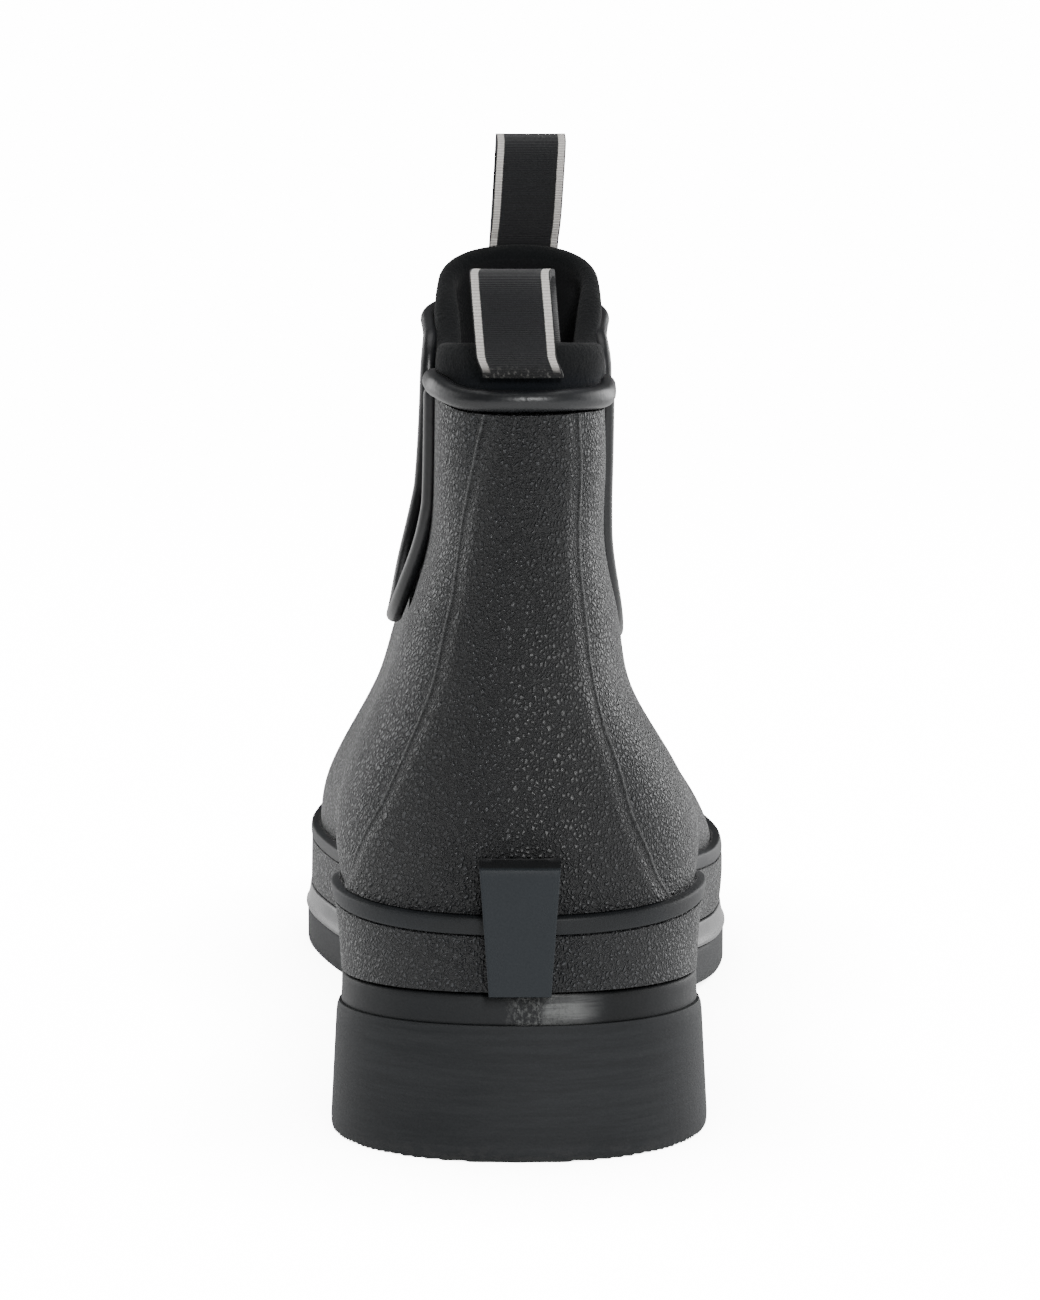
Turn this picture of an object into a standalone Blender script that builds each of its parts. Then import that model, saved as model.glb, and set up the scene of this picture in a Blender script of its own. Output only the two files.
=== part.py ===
"""Right rubber ankle boot of the chelsea kind, empty, standing on its sole.

Metres, +Z up, toe towards +Y, outer (lateral) side towards +X.
The origin is the middle of the heel's base, on the floor.
"""
import bpy
import numpy as np
from math import pi, atan2

# Outsole and its side view
LENGTH = 0.277             # outsole, back of the heel to the toe
BALL_WIDTH = 0.096         # outsole, widest reach to both sides of the middle line
HEEL_WIDTH = 0.0690        # outsole across the heel's top
HEEL_HEIGHT = 0.025        # floor to the top of the outsole at the heel's back
HEEL_LENGTH = 0.073        # heel block, back to breast
HEEL_FLARE = 0.0013        # heel's base stands out past its top
BREAST_SLOPE = 0.0025      # breast leans forward from its foot
OUTSOLE_THICKNESS = 0.008
TOE_SPRING = 0.010         # rise of the sole's tip
TOE_SWING = 0.006          # the tip lies this far towards the inner side
HEEL_BAR = 0.0100          # tread bar between two grooves
TREAD_BAR = 0.0082
GROOVE_WIDTH = 0.0040
GROOVE_DEPTH = 0.0026

# Midsole rand and footbed
MIDSOLE_THICKNESS = 0.0055
SOLE_EDGE = 0.0030         # outsole past the upper's own feather line
RAND_STEP = 0.0007         # rand's upper edge lies inside the outsole's edge
RAND_FLARE = 0.0011        # rand's lower edge past its upper edge
INSOLE_THICKNESS = 0.0040

# Upper
WALL = 0.0022              # rubber on its backing cloth
SHAFT_WIDTH = 0.0390       # across the rim
SHAFT_DEPTH = 0.111        # rear rim to front rim
RIM_BACK = 0.0105          # rear rim ahead of the outsole's back
REAR_RIM = 0.1375          # middle of the rear bead above the floor
FRONT_RIM = 0.1545         # middle of the front bead above the floor
BEAD = 0.0044              # rear rim bead, diameter
FRONT_BEAD = 0.0032        # front rim bead, diameter
GUSSET_BEAD = 0.0032       # bead round a side cut-out, diameter
GUSSET_PROUD = 0.0021      # it and the front bead stand out past the rubber's outer face
GUSSET_FLARE = 0.0006      # and its round bottom this much further
GUSSET_WIDTH = 0.050       # cut-out at the rim, bead middle to bead middle
GUSSET_FLOOR = 0.0905      # bottom of the outer cut-out above the floor
INNER_GUSSET_RISE = 0.0025 # the inner one ends this much higher
GUSSET_ARC = 0.024         # height of its round bottom
GUSSET_SPLAY = 0.090       # how much its legs open, per length
GUSSET_PLACE = 0.0610      # middle of the cut-out ahead of the heel's back
FOXING_HEIGHT = 0.0130     # seat line to the middle of the rib, at the ball
FOXING_THICKNESS = 0.0016
RIB_HEIGHT = 0.0030
RIB_PROUD = 0.0009         # rib past the strip
RIB_EDGE = 0.0004          # height of the rib's sloped edge
COUNTER_THICKNESS = 0.0007

# Heel tab
TAB_WIDTH = 0.0137
TAB_FOOT_WIDTH = 0.0116
TAB_HEIGHT = 0.0242
TAB_PROUD = 0.0050

# Knit sleeve and its loops
SLEEVE_WALL = 0.0030
REAR_FLAP = 0.1477         # top of the sleeve at the back
FRONT_ARCH = 0.1662        # top of the sleeve at the front
SLEEVE_DEPTH = 0.065       # how far the sleeve reaches down behind the rim
LOOP_WIDTH = 0.0145        # both pull loops
WEBBING = 0.0013
REAR_LOOP_TOP = 0.1612
REAR_LOOP_FOOT = 0.0022    # its outer end above the rear bead
REAR_LOOP_LEAN = -0.0016   # its top leans to the inner side
REAR_LOOP_BULGE = 0.0062   # how far the rear loop stands out behind the flap
REAR_LOOP_TAIL = 0.0105    # inner end of the rear loop below the flap's top
FRONT_LOOP_TOP = 0.1888
FRONT_LOOP_OPEN = 0.0085   # inside of the front loop, front to back
FRONT_LOOP_LEAN = 0.0020   # its top leans to the outer side

GAP = 0.0003               # between pieces that meet edge to edge
SKIN_FIT = 0.0005          # between skins that lie along the last

HEEL_CENTRE = 0.5 * HEEL_LENGTH
BACK = -HEEL_CENTRE                      # the outsole's back
FEATHER_BACK = BACK + SOLE_EDGE          # the upper's lowest line starts here
FOOT = LENGTH - 2 * SOLE_EDGE            # and is this long
SHAFT_BACK = BACK + RIM_BACK
SEAT_RISE = OUTSOLE_THICKNESS + MIDSOLE_THICKNESS + 2 * GAP
STRIP_LIFT = SKIN_FIT + FOXING_THICKNESS # outer face of the foxing strip
COUNTER_LIFT = SKIN_FIT + COUNTER_THICKNESS
SLEEVE_LIFT = -(WALL + SKIN_FIT)         # outer face of the sleeve

# How finely the surfaces are cut
AROUND = 56
UPPER_ROWS = 19
SLEEVE_ROWS = 9
COUNTER_ROWS = 12
COUNTER_COLUMNS = 12
TAB_COLUMNS = 4
BEAD_SIDES = 8
RIM_STEPS = 15
ARC_STEPS = 9              # points on a quarter of a cut-out's round bottom, and on a leg
TAPE_STEPS = 20
TAPE_COLUMNS = 4
SHARP = 0.6                # radians, from which an edge is shaded as a hard one
CLOSED = ((0.0, 0.45), (0.25, 0.80), (0.60, 1.00))  # a bead's end: steps inward and sizes, in radii

# Side view of the sole: rise is a share of the heel's lift, spring of the toe spring
SOLE_LINE = (
    # name          along rise  spring
    ("heel back",   0.00, 1.00, 0.00),
    ("seat",        0.09, 0.95, 0.00),
    ("seat front",  0.18, 0.82, 0.00),
    ("breast",      0.27, 0.63, 0.00),
    ("shank",       0.37, 0.37, 0.00),
    ("waist",       0.49, 0.13, 0.00),
    ("tread back",  0.60, 0.00, 0.00),
    ("ball",        0.68, 0.00, 0.00),
    ("tread front", 0.77, 0.00, 0.00),
    ("toe",         0.89, 0.00, 0.36),
    ("tip",         1.00, 0.00, 1.00),
)
TREAD_BACK = 0.58          # the forefoot's grooves lie between these shares of the length
TREAD_FRONT = 0.965

# Loops of the foot, from the feather line up. Places along are shares of the foot's
# length, rises are shares of the way from the seat line to the rim. follow tells how far
# a loop repeats the sole's own line, nose is the length of its round front. Widths go out
# from the middle line: the heel's are shares of the heel's width, the others of the ball's.
FOOT_LOOPS = (
    # name       back    rise   front  rise   follow nose | outer: heel waist ball toe | inner: heel waist ball toe
    ("feather",  0.000,  0.000, 1.000, 0.000, 1.00,  0.205, 0.456, 0.312, 0.482, 0.436,  0.456, 0.265, 0.468, 0.388),
    ("rib",     -0.003,  0.120, 0.998, 0.098, 1.00,  0.205, 0.471, 0.330, 0.484, 0.434,  0.476, 0.296, 0.465, 0.386),
    ("side",    -0.005,  0.255, 0.988, 0.190, 0.90,  0.215, 0.490, 0.342, 0.424, 0.396,  0.508, 0.350, 0.444, 0.362),
    ("toe top",  0.000,  0.390, 0.948, 0.285, 0.65,  0.245, 0.406, 0.258, 0.304, 0.312,  0.460, 0.332, 0.368, 0.312),
    ("vamp",     0.012,  0.515, 0.824, 0.366, 0.35,  0.270, 0.302, 0.210, 0.232, 0.222,  0.372, 0.284, 0.314, 0.250),
    ("instep",   0.023,  0.635, 0.655, 0.462, 0.15,  0.270, 0.268, 0.196, 0.209, 0.186,  0.310, 0.244, 0.270, 0.206),
)

# Loops of the shaft. Places along are shares of its depth from the back of the rim,
# widths are shares of its width.
SHAFT_LOOPS = (
    # name       back    rise   front  rise   follow nose | outer: heel waist ball toe | inner: heel waist ball toe
    ("throat",   0.010,  0.755, 1.240, 0.612, 0.05,  0.24,  0.405, 0.408, 0.430, 0.425,  0.424, 0.514, 0.540, 0.478),
    ("ankle",    0.012,  0.875, 1.085, 0.785, 0.00,  0.20,  0.408, 0.388, 0.407, 0.420,  0.400, 0.455, 0.484, 0.460),
    ("rim",      0.000,  1.000, 1.000, 1.000, 0.00,  0.17,  0.396, 0.412, 0.430, 0.445,  0.392, 0.438, 0.472, 0.470),
    ("collar",  -0.010,  1.130, 0.975, 1.130, 0.00,  0.16,  0.390, 0.412, 0.430, 0.440,  0.385, 0.436, 0.466, 0.461),
)

# Where along a loop its widths stand, and how its round ends are made
OUTER_STATIONS = (0.12, 0.42, 0.65, 0.86)
INNER_STATIONS = (0.12, 0.42, 0.75, 0.90)
HEEL_NOSE = 0.0366         # length of the heel's round back at the feather line
NOSE_POWER = 2.2

# Heights between the rear and the front value, at places along the shaft's loop
RIM_LINE = ((0.00, 0.00), (0.17, 0.09), (0.50, 0.26), (0.78, 0.64), (1.00, 1.00))
SLEEVE_LINE = ((0.00, 0.00), (0.10, -0.04), (0.20, -0.33), (0.42, -0.42),
               (0.64, -0.20), (0.82, 0.44), (1.00, 1.00))

# Height of the rib above the seat line, in shares of the foxing's height
FOXING_LINE = ((0.00, 0.95), (0.14, 1.22), (0.42, 1.12), (0.70, 1.00), (1.00, 1.06))

# Edges of the back panel: up is a share of the way from the rib to the rear rim, the edges
# are shares of the turn at which the heel's round back ends
COUNTER_EDGES = (
    # name       up    inner  outer
    ("rib",      0.00, 0.763, 0.576),
    ("over rib", 0.05, 0.656, 0.502),
    ("seat",     0.09, 0.613, 0.467),
    ("heel",     0.22, 0.494, 0.393),
    ("cup",      0.34, 0.451, 0.398),
    ("neck",     0.48, 0.428, 0.444),
    ("shaft",    0.60, 0.432, 0.447),
    ("calf",     0.75, 0.516, 0.482),
    ("under rim", 0.90, 0.391, 0.485),
    ("rim",      1.00, 0.297, 0.487),
)

for old in list(bpy.data.objects):
    bpy.data.objects.remove(old)


def material(name, colour, roughness):
    """Principled material of one piece, its colour in linear light."""
    made = bpy.data.materials.new(name)
    made.use_nodes = True
    shader = made.node_tree.nodes["Principled BSDF"]
    shader.inputs["Base Color"].default_value = (*colour, 1.0)
    shader.inputs["Roughness"].default_value = roughness
    shader.inputs["Metallic"].default_value = 0.0
    return made


def add(name, points, faces, finish):
    """One named object from its points and faces."""
    mesh = bpy.data.meshes.new(name)
    mesh.from_pydata([tuple(map(float, point)) for point in points], [], faces)
    mesh.shade_smooth()
    mesh.set_sharp_from_angle(angle=SHARP)
    mesh.materials.append(finish)
    made = bpy.data.objects.new(name, mesh)
    bpy.context.collection.objects.link(made)
    return made


def cut(target, cutter):
    """Take the cutter away from the target, and keep the cutter out of sight."""
    modifier = target.modifiers.new("cut " + cutter.name, "BOOLEAN")
    modifier.operation = "DIFFERENCE"
    modifier.object = cutter
    cutter.hide_render = True
    cutter.display_type = "WIRE"


def spline(knots, values):
    """Natural cubic spline through rows of values at the knots."""
    knots = np.asarray(knots, float)
    values = np.asarray(values, float).reshape(len(knots), -1)
    step = np.diff(knots)
    ends = len(knots) - 1
    system = np.eye(len(knots))
    right = np.zeros_like(values)
    for k in range(1, ends):
        system[k, k - 1:k + 2] = step[k - 1], 2 * (step[k - 1] + step[k]), step[k]
        ahead = (values[k + 1] - values[k]) / step[k]
        behind = (values[k] - values[k - 1]) / step[k - 1]
        right[k] = 6 * (ahead - behind)
    bend = np.linalg.solve(system, right)

    def at(where):
        where = np.asarray(where, float)
        k = np.clip(np.searchsorted(knots, where, side="right") - 1, 0, ends - 1)
        width = step[k][..., None]
        a = (knots[k + 1] - where)[..., None] / width
        b = 1 - a
        sag = ((a ** 3 - a) * bend[k] + (b ** 3 - b) * bend[k + 1]) * width ** 2 / 6
        return a * values[k] + b * values[k + 1] + sag
    return at


def steady(pairs):
    """Curve through pairs of place and value that never overshoots them: each inner slope
    is the harmonic mean of its neighbours', or level where they differ in sign."""
    knots, values = np.asarray(pairs, float).T
    step = np.diff(knots)
    rise = np.diff(values) / step
    slope = np.concatenate((rise[:1], np.zeros(len(knots) - 2), rise[-1:]))
    both = rise[:-1] * rise[1:]
    total = np.where(both > 0, rise[:-1] + rise[1:], 1.0)
    slope[1:-1] = np.where(both > 0, 2 * both / total, 0.0)

    def at(where):
        where = np.clip(where, knots[0], knots[-1])
        k = np.clip(np.searchsorted(knots, where, side="right") - 1, 0, len(step) - 1)
        t = (where - knots[k]) / step[k]
        start = (1 + 2 * t) * (1 - t) ** 2 * values[k] + t * (1 - t) ** 2 * step[k] * slope[k]
        end = t * t * (3 - 2 * t) * values[k + 1] + t * t * (t - 1) * step[k] * slope[k + 1]
        return start + end
    return at


def solve(function, low, high, goal):
    """Where a rising function meets the goal, by halving, for whole arrays."""
    goal = np.asarray(goal, float)
    low = np.zeros_like(goal) + low
    high = np.zeros_like(goal) + high
    for _ in range(40):
        middle = 0.5 * (low + high)
        under = function(middle) < goal
        low = np.where(under, middle, low)
        high = np.where(under, high, middle)
    return 0.5 * (low + high)


# The sole's own line

line_rise = steady([(row[1], row[2]) for row in SOLE_LINE])
line_spring = steady([(row[1], row[3]) for row in SOLE_LINE])


def underside(y):
    """Bottom of the sole's sheet, as if it had no heel block."""
    along = (y - BACK) / LENGTH
    lift = HEEL_HEIGHT - OUTSOLE_THICKNESS
    return lift * line_rise(along) + TOE_SPRING * line_spring(along)


def seat(y):
    """Seat line, a gap above the midsole, where the upper and the footbed start."""
    return underside(y) + SEAT_RISE


def swing(y):
    """Middle line of the foot, which turns inwards towards the toe."""
    ahead = np.clip(((y - BACK) / LENGTH - 0.45) / 0.55, 0.0, 1.0)
    return -TOE_SWING * ahead * ahead * (3 - 2 * ahead)


# The last, which is the upper's outer face: u goes round from the back of the heel along
# the outer side to the toe at 0.5 and back along the inner side, v counts the loops.

def loop_sizes(rows, back, length, heel_unit, width_unit):
    """Table rows as metres, with both rises and the last shares kept."""
    sizes = []
    for row in rows:
        outer = (row[7] * heel_unit, *(share * width_unit for share in row[8:11]))
        inner = (row[11] * heel_unit, *(share * width_unit for share in row[12:15]))
        ends = (back + row[1] * length, row[2], back + row[3] * length, row[4])
        sizes.append((*ends, row[5], row[6], *outer, *inner))
    return sizes


LOOPS = (loop_sizes(FOOT_LOOPS, FEATHER_BACK, FOOT, HEEL_WIDTH, BALL_WIDTH)
         + loop_sizes(SHAFT_LOOPS, SHAFT_BACK, SHAFT_DEPTH, SHAFT_WIDTH, SHAFT_WIDTH))
TOP = len(LOOPS) - 1
HEEL_ROUND = HEEL_NOSE / FOOT            # the heel's round back as a share of each loop
loops = spline(range(len(LOOPS)), LOOPS)
outer_share = spline(OUTER_STATIONS, np.eye(4))
inner_share = spline(INNER_STATIONS, np.eye(4))


def nose(ahead):
    """Round end: a superellipse's height at a share of its length."""
    short = 1 - np.clip(ahead, 0.0, 1.0)
    return (1 - short ** NOSE_POWER) ** (1 / NOSE_POWER)


def skin(u, v):
    """Point of the last: y runs between the loop's ends with the squared sine of u, x is
    the loop's width there times its round ends, z leans between the loop's ends and
    repeats the sole's line as far as the loop follows it."""
    u, v = np.broadcast_arrays(np.asarray(u, float), np.asarray(v, float))
    row = loops(v)
    along = np.sin(pi * u) ** 2
    outward = np.where(np.sin(2 * pi * u) >= 0, 1.0, -1.0)
    outer = np.sum(outer_share(along) * row[..., 6:10], axis=-1)
    inner = np.sum(inner_share(along) * row[..., 10:14], axis=-1)
    ends = nose(along / HEEL_ROUND) * nose((1 - along) / row[..., 5])
    back, front = row[..., 0], row[..., 2]
    y = back + (front - back) * along
    x = swing(y) + outward * np.where(outward > 0, outer, inner) * ends
    seat_back, seat_front = seat(back), seat(front)
    low = seat_back + row[..., 1] * (REAR_RIM - seat_back)
    high = seat_front + row[..., 3] * (FRONT_RIM - seat_front)
    chord = seat_back + (seat_front - seat_back) * along
    z = low + (high - low) * along + row[..., 4] * (seat(y) - chord)
    return np.stack((x, y, z), axis=-1)


def last(u, v, lift=0.0):
    """Point at a distance out from the last, along its normal."""
    small = 1e-4
    u, v = np.broadcast_arrays(np.asarray(u, float), np.asarray(v, float))
    round_it = skin(u + small, v) - skin(u - small, v)
    up_it = skin(u, v + 10 * small) - skin(u, v - 10 * small)
    normal = np.cross(round_it, up_it)
    normal /= np.linalg.norm(normal, axis=-1, keepdims=True)
    return skin(u, v) + normal * np.asarray(lift, float)[..., None]


def at_height(u, z):
    """v of the point at u with this z."""
    return solve(lambda v: skin(u, v)[..., 2], 0.0, TOP, z)


def above_seat(u, height):
    """v of the point at u that lies this far above the seat line."""
    def rise(v):
        point = skin(u, v)
        return point[..., 2] - seat(point[..., 1])
    return solve(rise, 0.0, 4.0, height)


def at_side(y, z, outward):
    """u and v of the shaft's point with this y and z, on the side that outward names."""
    def turn(v):
        row = loops(v)
        along = np.clip((y - row[..., 0]) / (row[..., 2] - row[..., 0]), 0.0, 1.0)
        share = np.arcsin(np.sqrt(along)) / pi
        return share if outward > 0 else 1 - share
    v = solve(lambda height: skin(turn(height), height)[..., 2], 1.0, TOP, z)
    return turn(v), v


def height_line(pairs, rear, front):
    """Height along a loop, between its rear and its front value."""
    share = steady(pairs)
    return lambda u: rear + (front - rear) * share(np.sin(pi * np.asarray(u)) ** 2)


rim_height = height_line(RIM_LINE, REAR_RIM, FRONT_RIM)
sleeve_top = height_line(SLEEVE_LINE, REAR_FLAP, FRONT_ARCH)
foxing_share = steady(FOXING_LINE)


def rib_height(u):
    """Middle of the rib above the seat line."""
    return FOXING_HEIGHT * foxing_share(np.sin(pi * np.asarray(u)) ** 2)


# Solids from grids of points

def tube_faces(rows, columns):
    """Faces of a grid that closes both ways."""
    faces = []
    for j in range(rows):
        for i in range(columns):
            k, n = (j + 1) % rows, (i + 1) % columns
            faces.append((j * columns + i, j * columns + n, k * columns + n, k * columns + i))
    return faces


def ring(name, grid, finish):
    """Solid whose section, one row after another, closes on itself round the foot."""
    rows, columns = grid.shape[:2]
    return add(name, grid.reshape(-1, 3), tube_faces(rows, columns), finish)


def plate(name, rims, finish):
    """Solid between stacked outlines, top one first, closed by strips across the foot."""
    rims = np.asarray(rims)
    levels, count = rims.shape[:2]
    faces = []
    for j in range(levels - 1):
        for i in range(count):
            n = (i + 1) % count
            faces.append(((j + 1) * count + i, (j + 1) * count + n, j * count + n, j * count + i))
    half = count // 2
    floor = (levels - 1) * count
    for i in range(half):
        other, beyond = (count - i) % count, count - i - 1
        top = (i, i + 1, beyond, other) if i else (0, 1, count - 1)
        if i == half - 1:
            top = (i, i + 1, other)
        faces.append(top)
        faces.append(tuple(floor + corner for corner in reversed(top)))
    return add(name, rims.reshape(-1, 3), faces, finish)


def slab(name, outer, inner, finish):
    """Solid between two open grids of the same size, the outer one facing out."""
    rows, columns = outer.shape[:2]
    size = rows * columns
    faces = []
    for j in range(rows - 1):
        for i in range(columns - 1):
            a = j * columns + i
            quad = (a, a + 1, a + columns + 1, a + columns)
            faces.append(quad)
            faces.append(tuple(size + corner for corner in reversed(quad)))
    edge = ([i for i in range(columns)]
            + [j * columns + columns - 1 for j in range(1, rows)]
            + [size - 2 - i for i in range(columns - 1)]
            + [j * columns for j in range(rows - 2, 0, -1)])
    for k, corner in enumerate(edge):
        following = edge[(k + 1) % len(edge)]
        faces.append((corner, size + corner, size + following, following))
    return add(name, np.concatenate((outer.reshape(-1, 3), inner.reshape(-1, 3))), faces, finish)


def bead(name, path, out, radius, finish):
    """Round bead along a path with domed ends, out points away from the last."""
    path = np.asarray(path)
    along = np.gradient(path, axis=0)
    along /= np.linalg.norm(along, axis=1, keepdims=True)
    out = out - np.sum(out * along, axis=1, keepdims=True) * along
    out /= np.linalg.norm(out, axis=1, keepdims=True)
    across = np.cross(along, out)
    start = [(path[0] + along[0] * radius * step, size, 0) for step, size in CLOSED]
    end = [(path[-1] - along[-1] * radius * step, size, len(path) - 1) for step, size in CLOSED[::-1]]
    middle = [(path[k], 1.0, k) for k in range(1, len(path) - 1)]
    points = []
    for centre, size, k in start + middle + end:
        for side in range(BEAD_SIDES):
            angle = 2 * pi * side / BEAD_SIDES
            points.append(centre + radius * size * (np.cos(angle) * out[k] + np.sin(angle) * across[k]))
    rows = len(start) + len(middle) + len(end)
    faces = [face for face in tube_faces(rows, BEAD_SIDES) if face[0] // BEAD_SIDES < rows - 1]
    faces.append(tuple(reversed(range(BEAD_SIDES))))
    faces.append(tuple(range((rows - 1) * BEAD_SIDES, rows * BEAD_SIDES)))
    return add(name, points, faces, finish)


turns = np.arange(AROUND) / AROUND


# Outsole with its heel block and tread

def sole_rim(u, margin):
    """Feather line pushed out by a margin, seen from above."""
    small = 1e-4
    line = skin(u, 0.0)
    run = skin(u + small, 0.0) - skin(u - small, 0.0)
    out = np.stack((run[:, 1], -run[:, 0]), axis=-1)
    out /= np.linalg.norm(out, axis=-1, keepdims=True)
    line[:, :2] += out * np.broadcast_to(margin, (len(u),))[:, None]
    return line


def sole_turns():
    """Turns of the sole's outlines: the upper's own, with two at the heel's breast in place
    of any that would lie within a quarter step of them."""
    breast = (HEEL_LENGTH - SOLE_EDGE) / FOOT
    pair = np.array((breast, breast + BREAST_SLOPE / FOOT))
    fixed = np.arcsin(np.sqrt(pair)) / pi
    own = turns[turns <= 0.5]
    own = own[np.min(np.abs(own[:, None] - fixed), axis=1) > 0.25 / AROUND]
    outer_side = np.sort(np.concatenate((own, fixed)))
    return np.concatenate((outer_side, 1 - outer_side[-2:0:-1])), fixed[0]


def make_outsole(finish):
    around, breast = sole_turns()
    heel = np.minimum(around, 1 - around) <= breast + 1e-9
    top = sole_rim(around, SOLE_EDGE)
    base = sole_rim(around, SOLE_EDGE + np.where(heel, HEEL_FLARE, 0.0))
    top[:, 2] = underside(top[:, 1]) + OUTSOLE_THICKNESS
    base[:, 2] = np.where(heel, 0.0, underside(base[:, 1]))
    made = plate("outsole", (top, base), finish)
    heel_pitch = HEEL_BAR + GROOVE_WIDTH
    beside = int((0.5 * HEEL_LENGTH - 0.5 * HEEL_BAR) // heel_pitch)
    grooves = [(k + 0.5) * heel_pitch for k in range(-beside, beside)]
    tread = BACK + TREAD_BACK * LENGTH + GROOVE_WIDTH
    while tread < BACK + TREAD_FRONT * LENGTH:
        grooves.append(tread)
        tread += TREAD_BAR + GROOVE_WIDTH
    corners = [(sx, sy, sz) for sz in (-1, 1) for sy in (-1, 1) for sx in (-1, 1)]
    sides = ((0, 2, 3, 1), (4, 5, 7, 6), (0, 1, 5, 4), (2, 6, 7, 3), (0, 4, 6, 2), (1, 3, 7, 5))
    plain = material("cutter", (0.5, 0.5, 0.5), 0.5)
    for k, y in enumerate(grooves):
        in_heel = y < BACK + HEEL_LENGTH
        ground = 0.0 if in_heel else underside(y)
        slope = 0.0 if in_heel else atan2(underside(y + 0.001) - underside(y - 0.001), 0.002)
        points = np.array(corners) * (BALL_WIDTH, 0.5 * GROOVE_WIDTH, GROOVE_DEPTH)
        groove = add("groove_%02d" % k, points, sides, plain)
        groove.location = (0.0, y, ground)
        groove.rotation_euler = (slope, 0.0, 0.0)
        cut(made, groove)
    return made


def make_midsole(finish):
    """Smooth rand: its edge flares out downwards, under the foxing."""
    around, _ = sole_turns()
    margin = SOLE_EDGE - RAND_STEP
    rims = []
    for share, step in ((1.0, 0.0), (0.12, RAND_FLARE), (0.0, 0.7 * RAND_FLARE)):
        rim = sole_rim(around, margin + step)
        rim[:, 2] = underside(rim[:, 1]) + OUTSOLE_THICKNESS + GAP + share * MIDSOLE_THICKNESS
        rims.append(rim)
    return plate("midsole", rims, finish)


def make_insole(finish):
    """Footbed, inside the wall all round."""
    inside = -(WALL + 2 * GAP)
    rims = []
    for height in (INSOLE_THICKNESS, 0.0):
        rim = last(turns, above_seat(turns, np.full(AROUND, height)), inside)
        rim[:, 2] = seat(rim[:, 1]) + height
        rims.append(rim)
    return plate("insole", rims, finish)


# Upper with its side cut-outs

def gusset_path(outward):
    """Middle of the gusset bead in the side view, from the rear leg's top round the floor
    to the front leg's top: an ellipse's lower half whose legs go on and splay."""
    place = BACK + GUSSET_PLACE
    floor = GUSSET_FLOOR + (0.0 if outward > 0 else INNER_GUSSET_RISE)
    arc = GUSSET_ARC * (1 - np.cos(np.linspace(0.0, 0.5 * pi, ARC_STEPS)))
    legs = GUSSET_ARC + np.linspace(0.0, FRONT_RIM - floor - GUSSET_ARC, ARC_STEPS)[1:]
    height = np.concatenate((arc, legs))
    straight = 0.5 * GUSSET_WIDTH - GUSSET_SPLAY * (REAR_RIM - floor)
    round_part = np.sqrt(1 - (1 - np.minimum(height / GUSSET_ARC, 1.0)) ** 2)
    half = straight * round_part + GUSSET_SPLAY * height
    y = np.concatenate((place - half[::-1], place + half[1:]))
    z = floor + np.concatenate((height[::-1], height[1:]))
    return np.stack((y, z), axis=-1)


def rim_edge(u):
    """Top edge of the rubber, a gap below the bead that sits on it."""
    front = np.sin(pi * np.asarray(u)) ** 2 > 0.5
    return rim_height(u) - 0.5 * np.where(front, FRONT_BEAD, BEAD) - GAP


def make_upper(finish):
    edge = at_height(turns, rim_edge(turns))
    v = np.linspace(0.0, 1.0, UPPER_ROWS + 1)[:, None] * edge
    u = np.broadcast_to(turns, v.shape)
    outer = last(u, v)
    inner = last(u, v, -WALL)
    inner[0, :, 2] = outer[0, :, 2]
    made = ring("upper", np.concatenate((outer, inner[::-1])), finish)
    for name, outward in (("gusset_cutter_outer", 1), ("gusset_cutter_inner", -1)):
        path = gusset_path(outward)
        along = np.gradient(path, axis=0)
        along /= np.linalg.norm(along, axis=1, keepdims=True)
        outside = np.stack((along[:, 1], -along[:, 0]), axis=-1)
        outline = path + outside * (0.5 * GUSSET_BEAD + 2 * GAP)
        above = FRONT_RIM + GUSSET_ARC
        profile = [(outline[0, 0], above), *outline, (outline[-1, 0], above)]
        count = len(profile)
        points = [(x, y, z) for x in sorted((0.0, outward * BALL_WIDTH)) for y, z in profile]
        faces = [(i, (i + 1) % count, count + (i + 1) % count, count + i) for i in range(count)]
        faces.append(tuple(reversed(range(count))))
        faces.append(tuple(range(count, 2 * count)))
        cut(made, add(name, points, faces, finish))
    return made


def make_gusset_bead(name, outward, finish):
    path = gusset_path(outward)
    y, z = path[:, 0], path[:, 1]
    u, v = at_side(y, z, outward)
    under_rim = z < rim_edge(u) - 0.3 * GUSSET_BEAD
    u, v = u[under_rim], v[under_rim]
    floor = np.min(z)
    deep = np.clip(1 - (z[under_rim] - floor) / GUSSET_ARC, 0.0, 1.0)
    middle = GUSSET_PROUD - 0.5 * GUSSET_BEAD + GUSSET_FLARE * deep * deep
    centre = last(u, v, middle)
    return bead(name, centre, last(u, v, middle + 0.001) - centre, 0.5 * GUSSET_BEAD, finish)


def rim_ends():
    """Turns where the rims meet the two cut-outs: rear and front, outer and inner side."""
    ends = []
    for outward in (1, -1):
        path = gusset_path(outward)
        for half in (path[:len(path) // 2], path[len(path) // 2 + 1:]):
            u, _ = at_side(half[:, 0], half[:, 1], outward)
            nearest = np.argmin(np.abs(half[:, 1] - rim_height(u)))
            ends.append(u[nearest])
    return ends


def make_rim_bead(name, start, end, diameter, middle, finish):
    u = np.linspace(start, end, RIM_STEPS)
    v = at_height(u % 1.0, rim_height(u))
    centre = last(u, v, middle)
    return bead(name, centre, last(u, v, middle + 0.001) - centre, 0.5 * diameter, finish)


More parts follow.
